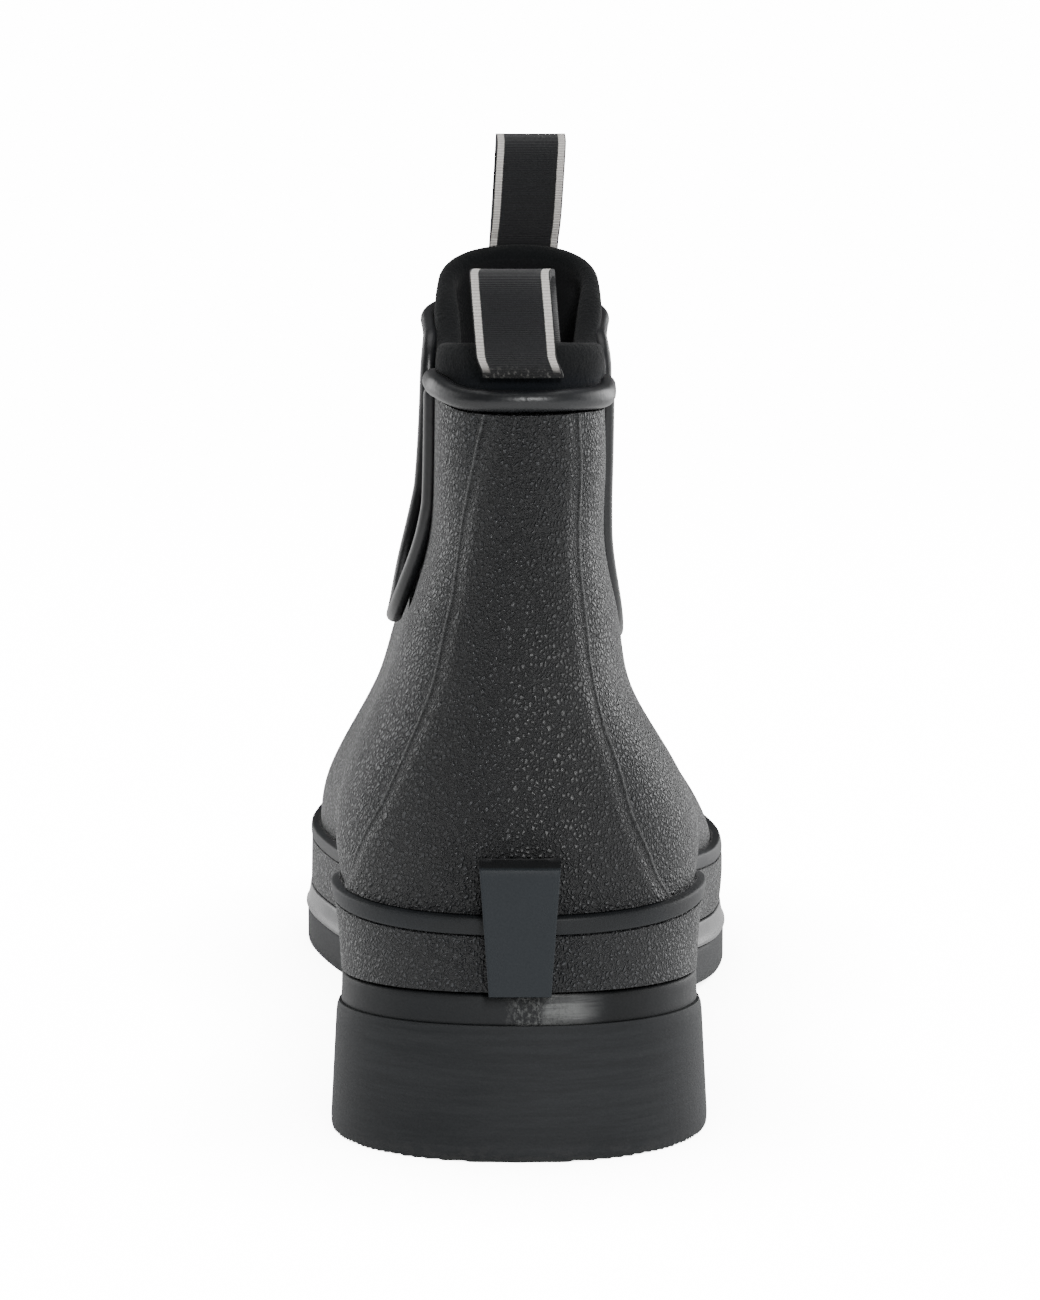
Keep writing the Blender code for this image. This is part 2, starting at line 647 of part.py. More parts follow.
def make_foxing(finish):
    """Strip round the foot with a smooth rib along its top."""
    rib = rib_height(turns)
    low, high = rib - 0.5 * RIB_HEIGHT, rib + 0.5 * RIB_HEIGHT
    rib_lift = STRIP_LIFT + RIB_PROUD
    section = ((0.0 * rib, SKIN_FIT), (0.0 * rib, STRIP_LIFT), (0.5 * low, STRIP_LIFT),
               (low - RIB_EDGE, STRIP_LIFT), (low, rib_lift), (high, rib_lift),
               (high + RIB_EDGE, SKIN_FIT), (0.72 * high, SKIN_FIT), (0.46 * high, SKIN_FIT),
               (0.22 * high, SKIN_FIT))
    rows = []
    for height, lift in section:
        rows.append(last(turns, above_seat(turns, height), lift))
    grid = np.array(rows)
    grid[:2, :, 2] = seat(grid[:2, :, 1])
    return ring("foxing", grid, finish)


def make_counter(finish):
    """Back panel overlay between its two edges, from the rib to the rear bead."""
    up = np.linspace(0.0, 1.0, COUNTER_ROWS + 1)
    zero = np.zeros(COUNTER_ROWS + 1)
    foot = above_seat(zero, rib_height(zero) + 0.5 * RIB_HEIGHT + RIB_EDGE + GAP)
    head = at_height(zero, rim_edge(zero))
    middle = foot + (head - foot) * up
    round_turn = np.arcsin(np.sqrt(HEEL_ROUND)) / pi
    z = skin(zero, middle)[:, 2]
    share = (z - z[0]) / (z[-1] - z[0])
    inner_turn = round_turn * steady([(row[1], row[2]) for row in COUNTER_EDGES])(share)
    outer_turn = round_turn * steady([(row[1], row[3]) for row in COUNTER_EDGES])(share)
    across = np.linspace(0.0, 1.0, COUNTER_COLUMNS + 1)
    u = -inner_turn[:, None] + (inner_turn + outer_turn)[:, None] * across
    low = above_seat(u, rib_height(u) + 0.5 * RIB_HEIGHT + RIB_EDGE + GAP)
    high = at_height(u, rim_edge(u))
    v = low + (high - low) * up[:, None]
    return slab("counter", last(u, v, COUNTER_LIFT), last(u, v, SKIN_FIT), finish)


def make_heel_tab(finish):
    """Plate on the back of the heel, bridging the foxing's rib and the back panel."""
    rib = float(rib_height(0.0))
    low, high = rib - 0.5 * RIB_HEIGHT - RIB_EDGE, rib + 0.5 * RIB_HEIGHT + RIB_EDGE
    over_strip, over_rib = STRIP_LIFT + GAP, STRIP_LIFT + RIB_PROUD + GAP
    levels = ((0.0, over_strip), (low - GAP, over_strip), (low, over_rib), (high + GAP, over_rib),
              (high + 2 * GAP, COUNTER_LIFT + GAP), (TAB_HEIGHT, COUNTER_LIFT + GAP))
    outer, inner = [], []
    head = above_seat(0.0, np.array(TAB_HEIGHT))
    face = skin(0.0, head)[1] - TAB_PROUD
    for height, lift in levels:
        share = height / TAB_HEIGHT
        half = 0.5 * (TAB_FOOT_WIDTH + (TAB_WIDTH - TAB_FOOT_WIDTH) * share)
        x = np.linspace(-half, half, TAB_COLUMNS + 1)
        v = above_seat(0.0, np.array(height))
        u = np.sign(x) * solve(lambda turn: np.abs(skin(turn, v)[..., 0]), 0.0, 0.2, np.abs(x))
        z = seat(BACK) + height
        inner.append([(across, rear[1], z) for across, rear in zip(x, last(u, v, lift))])
        outer.append([(across, face, z) for across in x])
    return slab("heel_tab", np.array(outer), np.array(inner), finish)


# Sleeve and loops

def make_sleeve(finish):
    low = at_height(turns, height_line(((0.0, 0.0), (1.0, 1.0)), REAR_RIM - SLEEVE_DEPTH,
                                       FRONT_RIM - SLEEVE_DEPTH)(turns))
    high = at_height(turns, sleeve_top(turns))
    v = low + (high - low) * np.linspace(0.0, 1.0, SLEEVE_ROWS + 1)[:, None]
    u = np.broadcast_to(turns, v.shape)
    outer = last(u, v, SLEEVE_LIFT)
    inner = last(u, v, SLEEVE_LIFT - SLEEVE_WALL)
    return ring("bootie", np.concatenate((outer, inner[::-1])), finish)


def webbing_face(line, front, lean=0.0):
    """Grid across a band from a line of pairs: distance out from the sleeve's middle face,
    and height. Above the sleeve the band keeps the shape of its edge, and it leans
    sideways by a share of its height."""
    away, height = np.asarray(line).T[:, :, None]
    across = np.linspace(-0.5 * LOOP_WIDTH, 0.5 * LOOP_WIDTH, TAPE_COLUMNS + 1)
    x = np.broadcast_to(across, (len(line), len(across)))
    z = np.broadcast_to(height, x.shape)
    start, way, top = (0.5, -np.sign(x), FRONT_ARCH) if front else (0.0, np.sign(x), REAR_FLAP)
    v = at_height(np.full(x.shape, start), np.minimum(z, top))
    lift = np.broadcast_to(SLEEVE_LIFT - 0.5 * SLEEVE_WALL + away, x.shape)
    turn = solve(lambda u: np.abs(last(start + way * u, v, lift)[..., 0]), 0.0, 0.12, np.abs(x))
    y = last(start + way * turn, v, lift)[..., 1]
    foot = FRONT_RIM if front else REAR_RIM
    return np.stack((x + lean * (z - foot), y, z), axis=-1)


def beside(route, reach):
    """A line moved to the left of its own direction."""
    run = np.gradient(route, axis=0)
    run /= np.linalg.norm(run, axis=1, keepdims=True)
    return route + reach * np.stack((-run[:, 1], run[:, 0]), axis=-1)


def make_rear_loop(finish):
    """Webbing over the rear flap: up behind it from the bead, over and down inside."""
    near = 0.5 * SLEEVE_WALL + 2 * GAP + 0.5 * WEBBING
    foot = REAR_RIM + 0.5 * BEAD + REAR_LOOP_FOOT
    top = REAR_LOOP_TOP - 0.5 * WEBBING
    flap, rise, out = REAR_FLAP - foot, top - REAR_FLAP, REAR_LOOP_BULGE - near
    points = ((near, foot), (near + 0.30 * out, foot + 0.35 * flap),
              (near + 0.92 * out, REAR_FLAP + 0.08 * rise), (near + 0.80 * out, REAR_FLAP + 0.68 * rise),
              (0.15 * out, top), (-near - 0.35 * out, REAR_FLAP + 0.66 * rise),
              (-near - 0.25 * out, REAR_FLAP + 0.04 * rise), (-near, REAR_FLAP - 0.5 * REAR_LOOP_TAIL),
              (-near, REAR_FLAP - REAR_LOOP_TAIL))
    route = spline(range(len(points)), points)(np.linspace(0, len(points) - 1, TAPE_STEPS))
    lean = REAR_LOOP_LEAN / (REAR_LOOP_TOP - foot)
    outside = webbing_face(beside(route, -0.5 * WEBBING), False, lean)
    inside = webbing_face(beside(route, 0.5 * WEBBING), False, lean)
    return slab("pull_loop_rear", outside, inside, finish)


def make_front_loop(finish):
    """Webbing folded into a drop that stands up in front of the arch. Its doubled tail
    lies against the sleeve between the front bead and the arch's edge."""
    turn = 2 * pi * (np.arange(TAPE_STEPS) + 0.5) / TAPE_STEPS
    tail = 0.5 * SLEEVE_WALL + 2 * GAP + WEBBING
    foot = FRONT_RIM + 0.5 * FRONT_BEAD + 2 * GAP
    low, high = FRONT_ARCH + WEBBING, FRONT_LOOP_TOP - WEBBING
    wide = 0.5 * FRONT_LOOP_OPEN * np.sin(turn) * (1 - 0.30 * np.cos(turn))
    hole = np.stack((tail - wide, 0.5 * (low + high) - 0.5 * (high - low) * np.cos(turn)), axis=-1)
    run = np.roll(hole, -1, axis=0) - np.roll(hole, 1, axis=0)
    run /= np.linalg.norm(run, axis=1, keepdims=True)
    outside = hole + WEBBING * np.stack((-run[:, 1], run[:, 0]), axis=-1)
    for corner, way in ((0, -1), (-1, 1)):
        outside[corner] = tail + way * WEBBING, foot
        outside[2 * corner + (corner == 0)] = tail + way * WEBBING, FRONT_ARCH + GAP
    lean = FRONT_LOOP_LEAN / (FRONT_LOOP_TOP - foot)
    outer, inner = webbing_face(outside, True, lean), webbing_face(hole, True, lean)
    return ring("pull_loop_front", np.concatenate((outer, inner[:, ::-1]), axis=1), finish)


grained_rubber = material("grained_rubber", (0.020, 0.021, 0.022), 0.42)
smooth_rubber = material("smooth_rubber", (0.012, 0.013, 0.014), 0.25)
sole_rubber = material("sole_rubber", (0.022, 0.023, 0.024), 0.75)
slate_rubber = material("slate_rubber", (0.035, 0.042, 0.050), 0.60)
knit = material("knit", (0.006, 0.006, 0.007), 0.95)
footbed = material("footbed", (0.030, 0.030, 0.032), 0.90)
tape = material("tape", (0.008, 0.008, 0.009), 0.80)

make_outsole(sole_rubber)
make_midsole(smooth_rubber)
make_insole(footbed)
make_upper(grained_rubber)
make_foxing(grained_rubber)
make_counter(grained_rubber)
make_heel_tab(slate_rubber)
outer_rear, outer_front, inner_rear, inner_front = rim_ends()
make_rim_bead("rear_rim_piping", inner_rear - 1.0, outer_rear, BEAD, -WALL + 0.5 * BEAD, smooth_rubber)
make_rim_bead("front_rim_piping", outer_front, inner_front, FRONT_BEAD,
              GUSSET_PROUD - 0.5 * FRONT_BEAD, smooth_rubber)
make_gusset_bead("gusset_piping_lateral", 1, smooth_rubber)
make_gusset_bead("gusset_piping_medial", -1, smooth_rubber)
make_sleeve(knit)
make_rear_loop(tape)
make_front_loop(tape)
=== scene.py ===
"""Right rubber ankle boot of the chelsea kind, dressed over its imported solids.

Metres, +Z up, toe towards +Y, outer side towards +X, origin under the middle of the heel.
"""
import bmesh
import bpy
import numpy as np
from math import pi, radians
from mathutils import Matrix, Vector


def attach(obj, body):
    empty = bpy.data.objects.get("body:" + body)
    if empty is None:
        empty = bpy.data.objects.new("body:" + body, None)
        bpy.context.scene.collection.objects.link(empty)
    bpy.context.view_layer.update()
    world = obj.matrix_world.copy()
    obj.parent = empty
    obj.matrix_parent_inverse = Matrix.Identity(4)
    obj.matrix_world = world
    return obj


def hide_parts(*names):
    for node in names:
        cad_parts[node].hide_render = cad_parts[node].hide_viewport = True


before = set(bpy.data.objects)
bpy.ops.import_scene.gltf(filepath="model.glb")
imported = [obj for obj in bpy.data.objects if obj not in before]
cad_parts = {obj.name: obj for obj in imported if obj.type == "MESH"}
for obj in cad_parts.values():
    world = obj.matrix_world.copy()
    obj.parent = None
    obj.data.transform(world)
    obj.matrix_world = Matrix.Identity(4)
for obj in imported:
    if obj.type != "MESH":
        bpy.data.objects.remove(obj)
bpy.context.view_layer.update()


# The rubber shell
# One piece of black rubber on backing cloth, laid up by hand over a last and cured on it. It is
# grained like leather outside, open at the collar and cut out in a U at either ankle.

LENGTH = 0.277
BALL_WIDTH = 0.096
HEEL_WIDTH = 0.0690
HEEL_LENGTH = 0.073
HEEL_HEIGHT = 0.025
OUTSOLE_THICKNESS = 0.008
MIDSOLE_THICKNESS = 0.0055
TOE_SPRING = 0.010
TOE_SWING = 0.006
SOLE_EDGE = 0.0030
GAP = 0.0003
WALL = 0.0022
SKIN_FIT = 0.0005
SHAFT_WIDTH = 0.0390
SHAFT_DEPTH = 0.111
REAR_RIM = 0.1375
FRONT_RIM = 0.1545
REAR_BEAD = 0.0044
FRONT_BEAD = 0.0032
BACK = -0.5 * HEEL_LENGTH
FOOT_BACK = BACK + SOLE_EDGE
FOOT = LENGTH - 2 * SOLE_EDGE
SHAFT_BACK = BACK + 0.0105
SEAT_RISE = OUTSOLE_THICKNESS + MIDSOLE_THICKNESS + 2 * GAP

# Side view of the sole: share of the heel's lift, and of the toe spring, at places along it
SOLE_LINE = np.array((
    (0.00, 1.00, 0.00), (0.09, 0.95, 0.00), (0.18, 0.82, 0.00), (0.27, 0.63, 0.00),
    (0.37, 0.37, 0.00), (0.49, 0.13, 0.00), (0.60, 0.00, 0.00), (0.68, 0.00, 0.00),
    (0.77, 0.00, 0.00), (0.89, 0.00, 0.36), (1.00, 0.00, 1.00)))

# Loops of the last: back, rise, front, rise, follow, nose, outer and inner heel, waist, ball, toe
FOOT_LOOPS = (
    (0.000,  0.000, 1.000, 0.000, 1.00, 0.205, 0.456, 0.312, 0.482, 0.436, 0.456, 0.265, 0.468, 0.388),
    (-0.003, 0.120, 0.998, 0.098, 1.00, 0.205, 0.471, 0.330, 0.484, 0.434, 0.476, 0.296, 0.465, 0.386),
    (-0.005, 0.255, 0.988, 0.190, 0.90, 0.215, 0.490, 0.342, 0.424, 0.396, 0.508, 0.350, 0.444, 0.362),
    (0.000,  0.390, 0.948, 0.285, 0.65, 0.245, 0.406, 0.258, 0.304, 0.312, 0.460, 0.332, 0.368, 0.312),
    (0.012,  0.515, 0.824, 0.366, 0.35, 0.270, 0.302, 0.210, 0.232, 0.222, 0.372, 0.284, 0.314, 0.250),
    (0.023,  0.635, 0.655, 0.462, 0.15, 0.270, 0.268, 0.196, 0.209, 0.186, 0.310, 0.244, 0.270, 0.206))
SHAFT_LOOPS = (
    (0.010,  0.755, 1.240, 0.612, 0.05, 0.240, 0.405, 0.408, 0.430, 0.425, 0.424, 0.514, 0.540, 0.478),
    (0.012,  0.875, 1.085, 0.785, 0.00, 0.200, 0.408, 0.388, 0.407, 0.420, 0.400, 0.455, 0.484, 0.460),
    (0.000,  1.000, 1.000, 1.000, 0.00, 0.170, 0.396, 0.412, 0.430, 0.478, 0.392, 0.438, 0.472, 0.512),
    (-0.010, 1.130, 0.975, 1.130, 0.00, 0.160, 0.390, 0.412, 0.430, 0.474, 0.385, 0.436, 0.466, 0.503))
OUTER_STATIONS = (0.12, 0.42, 0.65, 0.86)
INNER_STATIONS = (0.12, 0.42, 0.75, 0.90)
HEEL_ROUND = 0.0366 / FOOT
NOSE_POWER = 2.2
NUDGE = 1e-4
RIM_WARP_INNER = 0.0013
RIM_WARP_OUTER = -0.0004


def spline(knots, values):
    """Natural cubic spline: between two knots each value is the straight line plus its bend
    times the cubes of the two shares, and the bends come from one linear system."""
    knots = np.asarray(knots, float)
    values = np.asarray(values, float).reshape(len(knots), -1)
    gap = np.diff(knots)
    ends = len(knots) - 1
    system = np.eye(len(knots))
    right = np.zeros_like(values)
    for k in range(1, ends):
        system[k, k - 1:k + 2] = gap[k - 1], 2 * (gap[k - 1] + gap[k]), gap[k]
        right[k] = 6 * ((values[k + 1] - values[k]) / gap[k] - (values[k] - values[k - 1]) / gap[k - 1])
    bend = np.linalg.solve(system, right)

    def at(where):
        where = np.asarray(where, float)
        k = np.clip(np.searchsorted(knots, where, side="right") - 1, 0, ends - 1)
        width = gap[k][..., None]
        a = (knots[k + 1] - where)[..., None] / width
        b = 1 - a
        sag = ((a ** 3 - a) * bend[k] + (b ** 3 - b) * bend[k + 1]) * width ** 2 / 6
        return a * values[k] + b * values[k + 1] + sag
    return at


def steady(knots, values):
    """Cubic curve that never overshoots: each inner slope is the harmonic mean of the slopes
    on its two sides, or level where they differ in sign."""
    knots, values = np.asarray(knots, float), np.asarray(values, float)
    gap = np.diff(knots)
    rise = np.diff(values) / gap
    both = rise[:-1] * rise[1:]
    mean = np.where(both > 0, 2 * both / np.where(both > 0, rise[:-1] + rise[1:], 1.0), 0.0)
    slope = np.concatenate((rise[:1], mean, rise[-1:]))

    def at(where):
        where = np.clip(where, knots[0], knots[-1])
        k = np.clip(np.searchsorted(knots, where, side="right") - 1, 0, len(gap) - 1)
        t = (where - knots[k]) / gap[k]
        start = (1 + 2 * t) * (1 - t) ** 2 * values[k] + t * (1 - t) ** 2 * gap[k] * slope[k]
        end = t * t * (3 - 2 * t) * values[k + 1] + t * t * (t - 1) * gap[k] * slope[k + 1]
        return start + end
    return at


def step(value, low, high):
    """Smooth step from 0 at low to 1 at high."""
    share = np.clip((value - low) / (high - low), 0.0, 1.0)
    return share * share * (3 - 2 * share)


def solve(function, low, high, goal):
    """Where a rising function meets the goal, by halving the interval forty times."""
    goal = np.asarray(goal, float)
    low = np.zeros_like(goal) + low
    high = np.zeros_like(goal) + high
    for _ in range(40):
        middle = 0.5 * (low + high)
        under = function(middle) < goal
        low = np.where(under, middle, low)
        high = np.where(under, high, middle)
    return 0.5 * (low + high)


line_rise = steady(SOLE_LINE[:, 0], SOLE_LINE[:, 1])
line_spring = steady(SOLE_LINE[:, 0], SOLE_LINE[:, 2])


def underside(y):
    """Bottom of the sole's sheet: the heel's lift and the toe spring, each times its share."""
    along = (y - BACK) / LENGTH
    return (HEEL_HEIGHT - OUTSOLE_THICKNESS) * line_rise(along) + TOE_SPRING * line_spring(along)


def seat(y):
    """Seat line of the upper, on top of the two layers of the sole."""
    return underside(y) + SEAT_RISE


def swing(y):
    """Middle line, which turns inwards with the smooth step of the way past the waist."""
    ahead = np.clip(((y - BACK) / LENGTH - 0.45) / 0.55, 0.0, 1.0)
    return -TOE_SWING * ahead * ahead * (3 - 2 * ahead)


def loop_sizes(rows, back, length, heel_unit, width_unit):
    """Rows of shares as metres; rises, follow and nose stay shares."""
    rows = np.array(rows)
    sizes = rows.copy()
    sizes[:, (0, 2)] = back + rows[:, (0, 2)] * length
    sizes[:, (6, 10)] = rows[:, (6, 10)] * heel_unit
    sizes[:, 7:10] = rows[:, 7:10] * width_unit
    sizes[:, 11:14] = rows[:, 11:14] * width_unit
    return sizes


LOOPS = np.concatenate((loop_sizes(FOOT_LOOPS, FOOT_BACK, FOOT, HEEL_WIDTH, BALL_WIDTH),
                        loop_sizes(SHAFT_LOOPS, SHAFT_BACK, SHAFT_DEPTH, SHAFT_WIDTH, SHAFT_WIDTH)))
TOP = len(LOOPS) - 1
loops = spline(range(len(LOOPS)), LOOPS)
outer_share = spline(OUTER_STATIONS, np.eye(4))
inner_share = spline(INNER_STATIONS, np.eye(4))


def nose(ahead):
    """Round end: the height of a superellipse at a share of its length."""
    short = 1 - np.clip(ahead, 0.0, 1.0)
    return (1 - short ** NOSE_POWER) ** (1 / NOSE_POWER)


def share_at(turn):
    """Share of a loop's length, from heel to toe, at a turn: the squared sine."""
    return np.sin(pi * turn) ** 2


def turn_at(share):
    """Turn on the outer side at a share of the length: the arc sine of its root."""
    return np.arcsin(np.sqrt(share)) / pi


def skin(u, v):
    """The last: y runs between the ends of loop v with the squared sine of u, x is the loop's
    width there times its round ends, z leans between its ends and follows the sole's line."""
    u, v = np.broadcast_arrays(u, v)
    row = loops(v)
    along = share_at(u)
    outward = np.where(np.sin(2 * pi * u) >= 0, 1.0, -1.0)
    outer = np.sum(outer_share(along) * row[..., 6:10], axis=-1)
    inner = np.sum(inner_share(along) * row[..., 10:14], axis=-1)
    ends = nose(along / HEEL_ROUND) * nose((1 - along) / row[..., 5])
    back, front = row[..., 0], row[..., 2]
    y = back + (front - back) * along
    x = swing(y) + outward * np.where(outward > 0, outer, inner) * ends
    seat_back, seat_front = seat(back), seat(front)
    low = seat_back + row[..., 1] * (REAR_RIM - seat_back)
    high = seat_front + row[..., 3] * (FRONT_RIM - seat_front)
    chord = seat_back + (seat_front - seat_back) * along
    z = low + (high - low) * along + row[..., 4] * (seat(y) - chord)
    return np.stack((x, y, z), axis=-1)


def unit(vectors):
    """Vectors divided by their own lengths."""
    return vectors / np.linalg.norm(vectors, axis=-1, keepdims=True)


def last(u, v, lift=0.0):
    """The last's point plus a lift along its normal, the cross product of its two slopes."""
    round_it = skin(u + NUDGE, v) - skin(u - NUDGE, v)
    up_it = skin(u, v + 10 * NUDGE) - skin(u, v - 10 * NUDGE)
    return skin(u, v) + unit(np.cross(round_it, up_it)) * np.asarray(lift)[..., None]


def at_height(u, z):
    """v of the point at u that lies at this height."""
    return solve(lambda v: skin(u, v)[..., 2], 0.0, TOP, z)


def above_seat(u, height):
    """v of the point at u that lies this far above the seat line."""
    def rise(v):
        point = skin(u, v)
        return point[..., 2] - seat(point[..., 1])
    return solve(rise, -0.2, 4.0, height)


def at_side(y, z, outward):
    """u and v of the shaft's point with this y and z, on the outer or the inner side."""
    def turn(v):
        row = loops(v)
        along = np.clip((y - row[..., 0]) / (row[..., 2] - row[..., 0]), 0.0, 1.0)
        return turn_at(along) if outward > 0 else 1 - turn_at(along)
    v = solve(lambda height: skin(turn(height), height)[..., 2], 1.0, TOP, z)
    return turn(v), v


def across_heel(x, v):
    """u of the heel's point with this x: below 0 on the inner side, above it on the outer."""
    x, v = np.broadcast_arrays(x, v)
    way = np.sign(x)
    return way * solve(lambda u: np.abs(skin(way * u, v)[..., 0]), 0.0, 0.2, np.abs(x))


rim_share = steady((0.00, 0.17, 0.50, 0.78, 1.00), (0.00, 0.09, 0.26, 0.64, 1.00))
rim_warp = steady((0.00, 0.015, 0.10, 0.30, 1.00), (0.0, 0.0, 1.0, 0.4, 0.0))


def rim_height(u):
    """Middle of the rims: the drawn line, plus a warp from making by hand that lifts the
    rear rim's inner end and lowers its outer one."""
    u = u % 1.0
    along = share_at(u)
    warp = np.where(u > 0.5, RIM_WARP_INNER, RIM_WARP_OUTER) * rim_warp(along)
    return REAR_RIM + (FRONT_RIM - REAR_RIM) * rim_share(along) + warp


def rim_edge(u):
    """Top edge of the rubber: the rim's height less half the bead that sits on it."""
    front = share_at(u) > 0.5
    return rim_height(u) - 0.5 * np.where(front, FRONT_BEAD, REAR_BEAD) - GAP


# Cut-outs of the ankles: width at the rim, height of the round floor, splay of the legs
GUSSET_BEAD = 0.0032
GUSSET_PROUD = 0.0021
GUSSET_FLARE = {1: -0.0006, -1: 0.0022}
GUSSET_PLACE = BACK + 0.0610
GUSSET_WIDTH = 0.050
GUSSET_ARC = 0.024
GUSSET_SPLAY = 0.090
GUSSET_FLOOR = {1: 0.0905, -1: 0.0930}
CORNER_REACH = 0.0065


def gusset_path(outward, count):
    """A U in side view: half its width is the root of the ellipse over the round floor plus
    the splay times the height, from the rear leg's top to the front leg's."""
    floor = GUSSET_FLOOR[outward]
    turn = np.linspace(0.0, 1.0, count)
    arc = GUSSET_ARC * (1 - np.cos(0.5 * pi * turn))
    legs = GUSSET_ARC + (FRONT_RIM - floor - GUSSET_ARC) * turn[1:]
    height = np.concatenate((arc, legs))
    straight = 0.5 * GUSSET_WIDTH - GUSSET_SPLAY * (REAR_RIM - floor)
    half = straight * np.sqrt(1 - (1 - np.minimum(height / GUSSET_ARC, 1.0)) ** 2) + GUSSET_SPLAY * height
    y = np.concatenate((GUSSET_PLACE - half[::-1], GUSSET_PLACE + half[1:]))
    z = floor + np.concatenate((height[::-1], height[1:]))
    return np.stack((y, z), axis=-1)


def walked(points):
    """Way walked along each line of points: the sum of its steps' lengths, from 0."""
    way = np.cumsum(np.linalg.norm(np.diff(points, axis=-2), axis=-1), axis=-1)
    return np.concatenate((0.0 * way[..., :1], way), axis=-1)


def under_rim(outward, count, reach, to_middle=False):
    """u and v of a U's points below the rubber's edge, pushed out of the U by a reach; the
    front leg goes on to the middle of the rim where it is asked to."""
    path = gusset_path(outward, 4 * count)
    run = unit(np.gradient(path, axis=0))
    path = path + reach * np.stack((run[:, 1], -run[:, 0]), axis=-1)
    u, v = at_side(path[:, 0], path[:, 1], outward)
    in_front = to_middle & (np.arange(len(path)) > len(path) // 2)
    low = path[:, 1] < np.where(in_front, rim_height(u), rim_edge(u))
    u, v, path = u[low], v[low], path[low]
    walk = walked(path)
    even = np.linspace(0.0, walk[-1], 2 * count + 1)
    return np.interp(even, walk, u), np.interp(even, walk, v), even / walk[-1]


def rounded(u, v, corner):
    """A path whose corner is round: within a reach of it the points lie on the quadratic
    curve between the two points a reach away, with the corner as its control point."""
    walk = walked(skin(u, v))
    off = (walk - walk[corner]) / CORNER_REACH
    t = np.clip(0.5 + 0.5 * off, 0.0, 1.0)
    ends = walk[corner] + CORNER_REACH * np.array((-1.0, 1.0))
    made = []
    for values in (u, v):
        first, final = np.interp(ends, walk, values)
        curve = (1 - t) ** 2 * first + 2 * t * (1 - t) * values[corner] + t * t * final
        made.append(np.where(np.abs(off) < 1.0, curve, values))
    return made


SAME_POINT = 2e-6


def grid(name, points, finish, along=False, around=False, sharp=0.7, maps=None, second=None):
    """Quads between neighbouring points of a grid: a closed way joins its last line to its
    first, points that coincide are merged, and edges past the sharp angle stay hard. A second
    finish goes to the rows of quads that come with it."""
    rows, columns = points.shape[:2]
    index = np.arange(rows * columns).reshape(rows, columns)
    if along:
        index = np.vstack((index, index[:1]))
    if around:
        index = np.hstack((index, index[:, :1]))
    quads = np.stack((index[:-1, :-1], index[:-1, 1:], index[1:, 1:], index[1:, :-1]), axis=-1)
    faces = quads.reshape(-1, 4)
    mesh = bpy.data.meshes.new(name)
    mesh.vertices.add(rows * columns)
    mesh.vertices.foreach_set("co", points.reshape(-1).astype(np.float32))
    mesh.loops.add(faces.size)
    mesh.loops.foreach_set("vertex_index", faces.reshape(-1).astype(np.int32))
    mesh.polygons.add(len(faces))
    mesh.polygons.foreach_set("loop_start", np.arange(0, faces.size, 4, dtype=np.int32))
    mesh.update(calc_edges=True)
    if maps is not None:
        layer = mesh.uv_layers.new(name="UVMap")
        layer.data.foreach_set("uv", maps.reshape(-1, 2)[faces.reshape(-1)].reshape(-1).astype(np.float32))
    mesh.materials.append(finish)
    if second is not None:
        mesh.materials.append(second[0])
        row = np.repeat(np.arange(quads.shape[0]), quads.shape[1])
        mesh.polygons.foreach_set("material_index", np.isin(row, second[1]).astype(np.int32))
    mesh.validate()
    work = bmesh.new()
    work.from_mesh(mesh)
    bmesh.ops.remove_doubles(work, verts=work.verts, dist=SAME_POINT)
    work.to_mesh(mesh)
    work.free()
    mesh.shade_smooth()
    mesh.set_sharp_from_angle(angle=sharp)
    made = bpy.data.objects.new(name, mesh)
    bpy.context.collection.objects.link(made)
    return made


def arithmetic(operation, turned=False):
    """Method of a Wire for one operation, with its two sides swapped where it is turned."""
    def apply(self, other):
        return self.math(operation, other, self) if turned else self.math(operation, self, other)
    return apply


class Wire:
    """A socket of a material's node tree: arithmetic on it, with a number or another socket
    on either side, adds a Math node."""

    def __init__(self, tree, socket):
        self.tree = tree
        self.socket = socket

    def math(self, operation, *values):
        node = self.tree.nodes.new("ShaderNodeMath")
        node.operation = operation
        for place, value in enumerate(values):
            if isinstance(value, Wire):
                self.tree.links.new(value.socket, node.inputs[place])
            else:
                node.inputs[place].default_value = value
        return Wire(self.tree, node.outputs[0])

    __add__ = arithmetic("ADD")
    __radd__ = arithmetic("ADD", True)
    __sub__ = arithmetic("SUBTRACT")
    __rsub__ = arithmetic("SUBTRACT", True)
    __mul__ = arithmetic("MULTIPLY")
    __rmul__ = arithmetic("MULTIPLY", True)
    highest = arithmetic("MAXIMUM")

    def ripple(self, pitch):
        """Sine of this value with a pitch, between 0 and 1."""
        return self.math("SINE", self * (2 * pi / pitch)) * 0.5 + 0.5


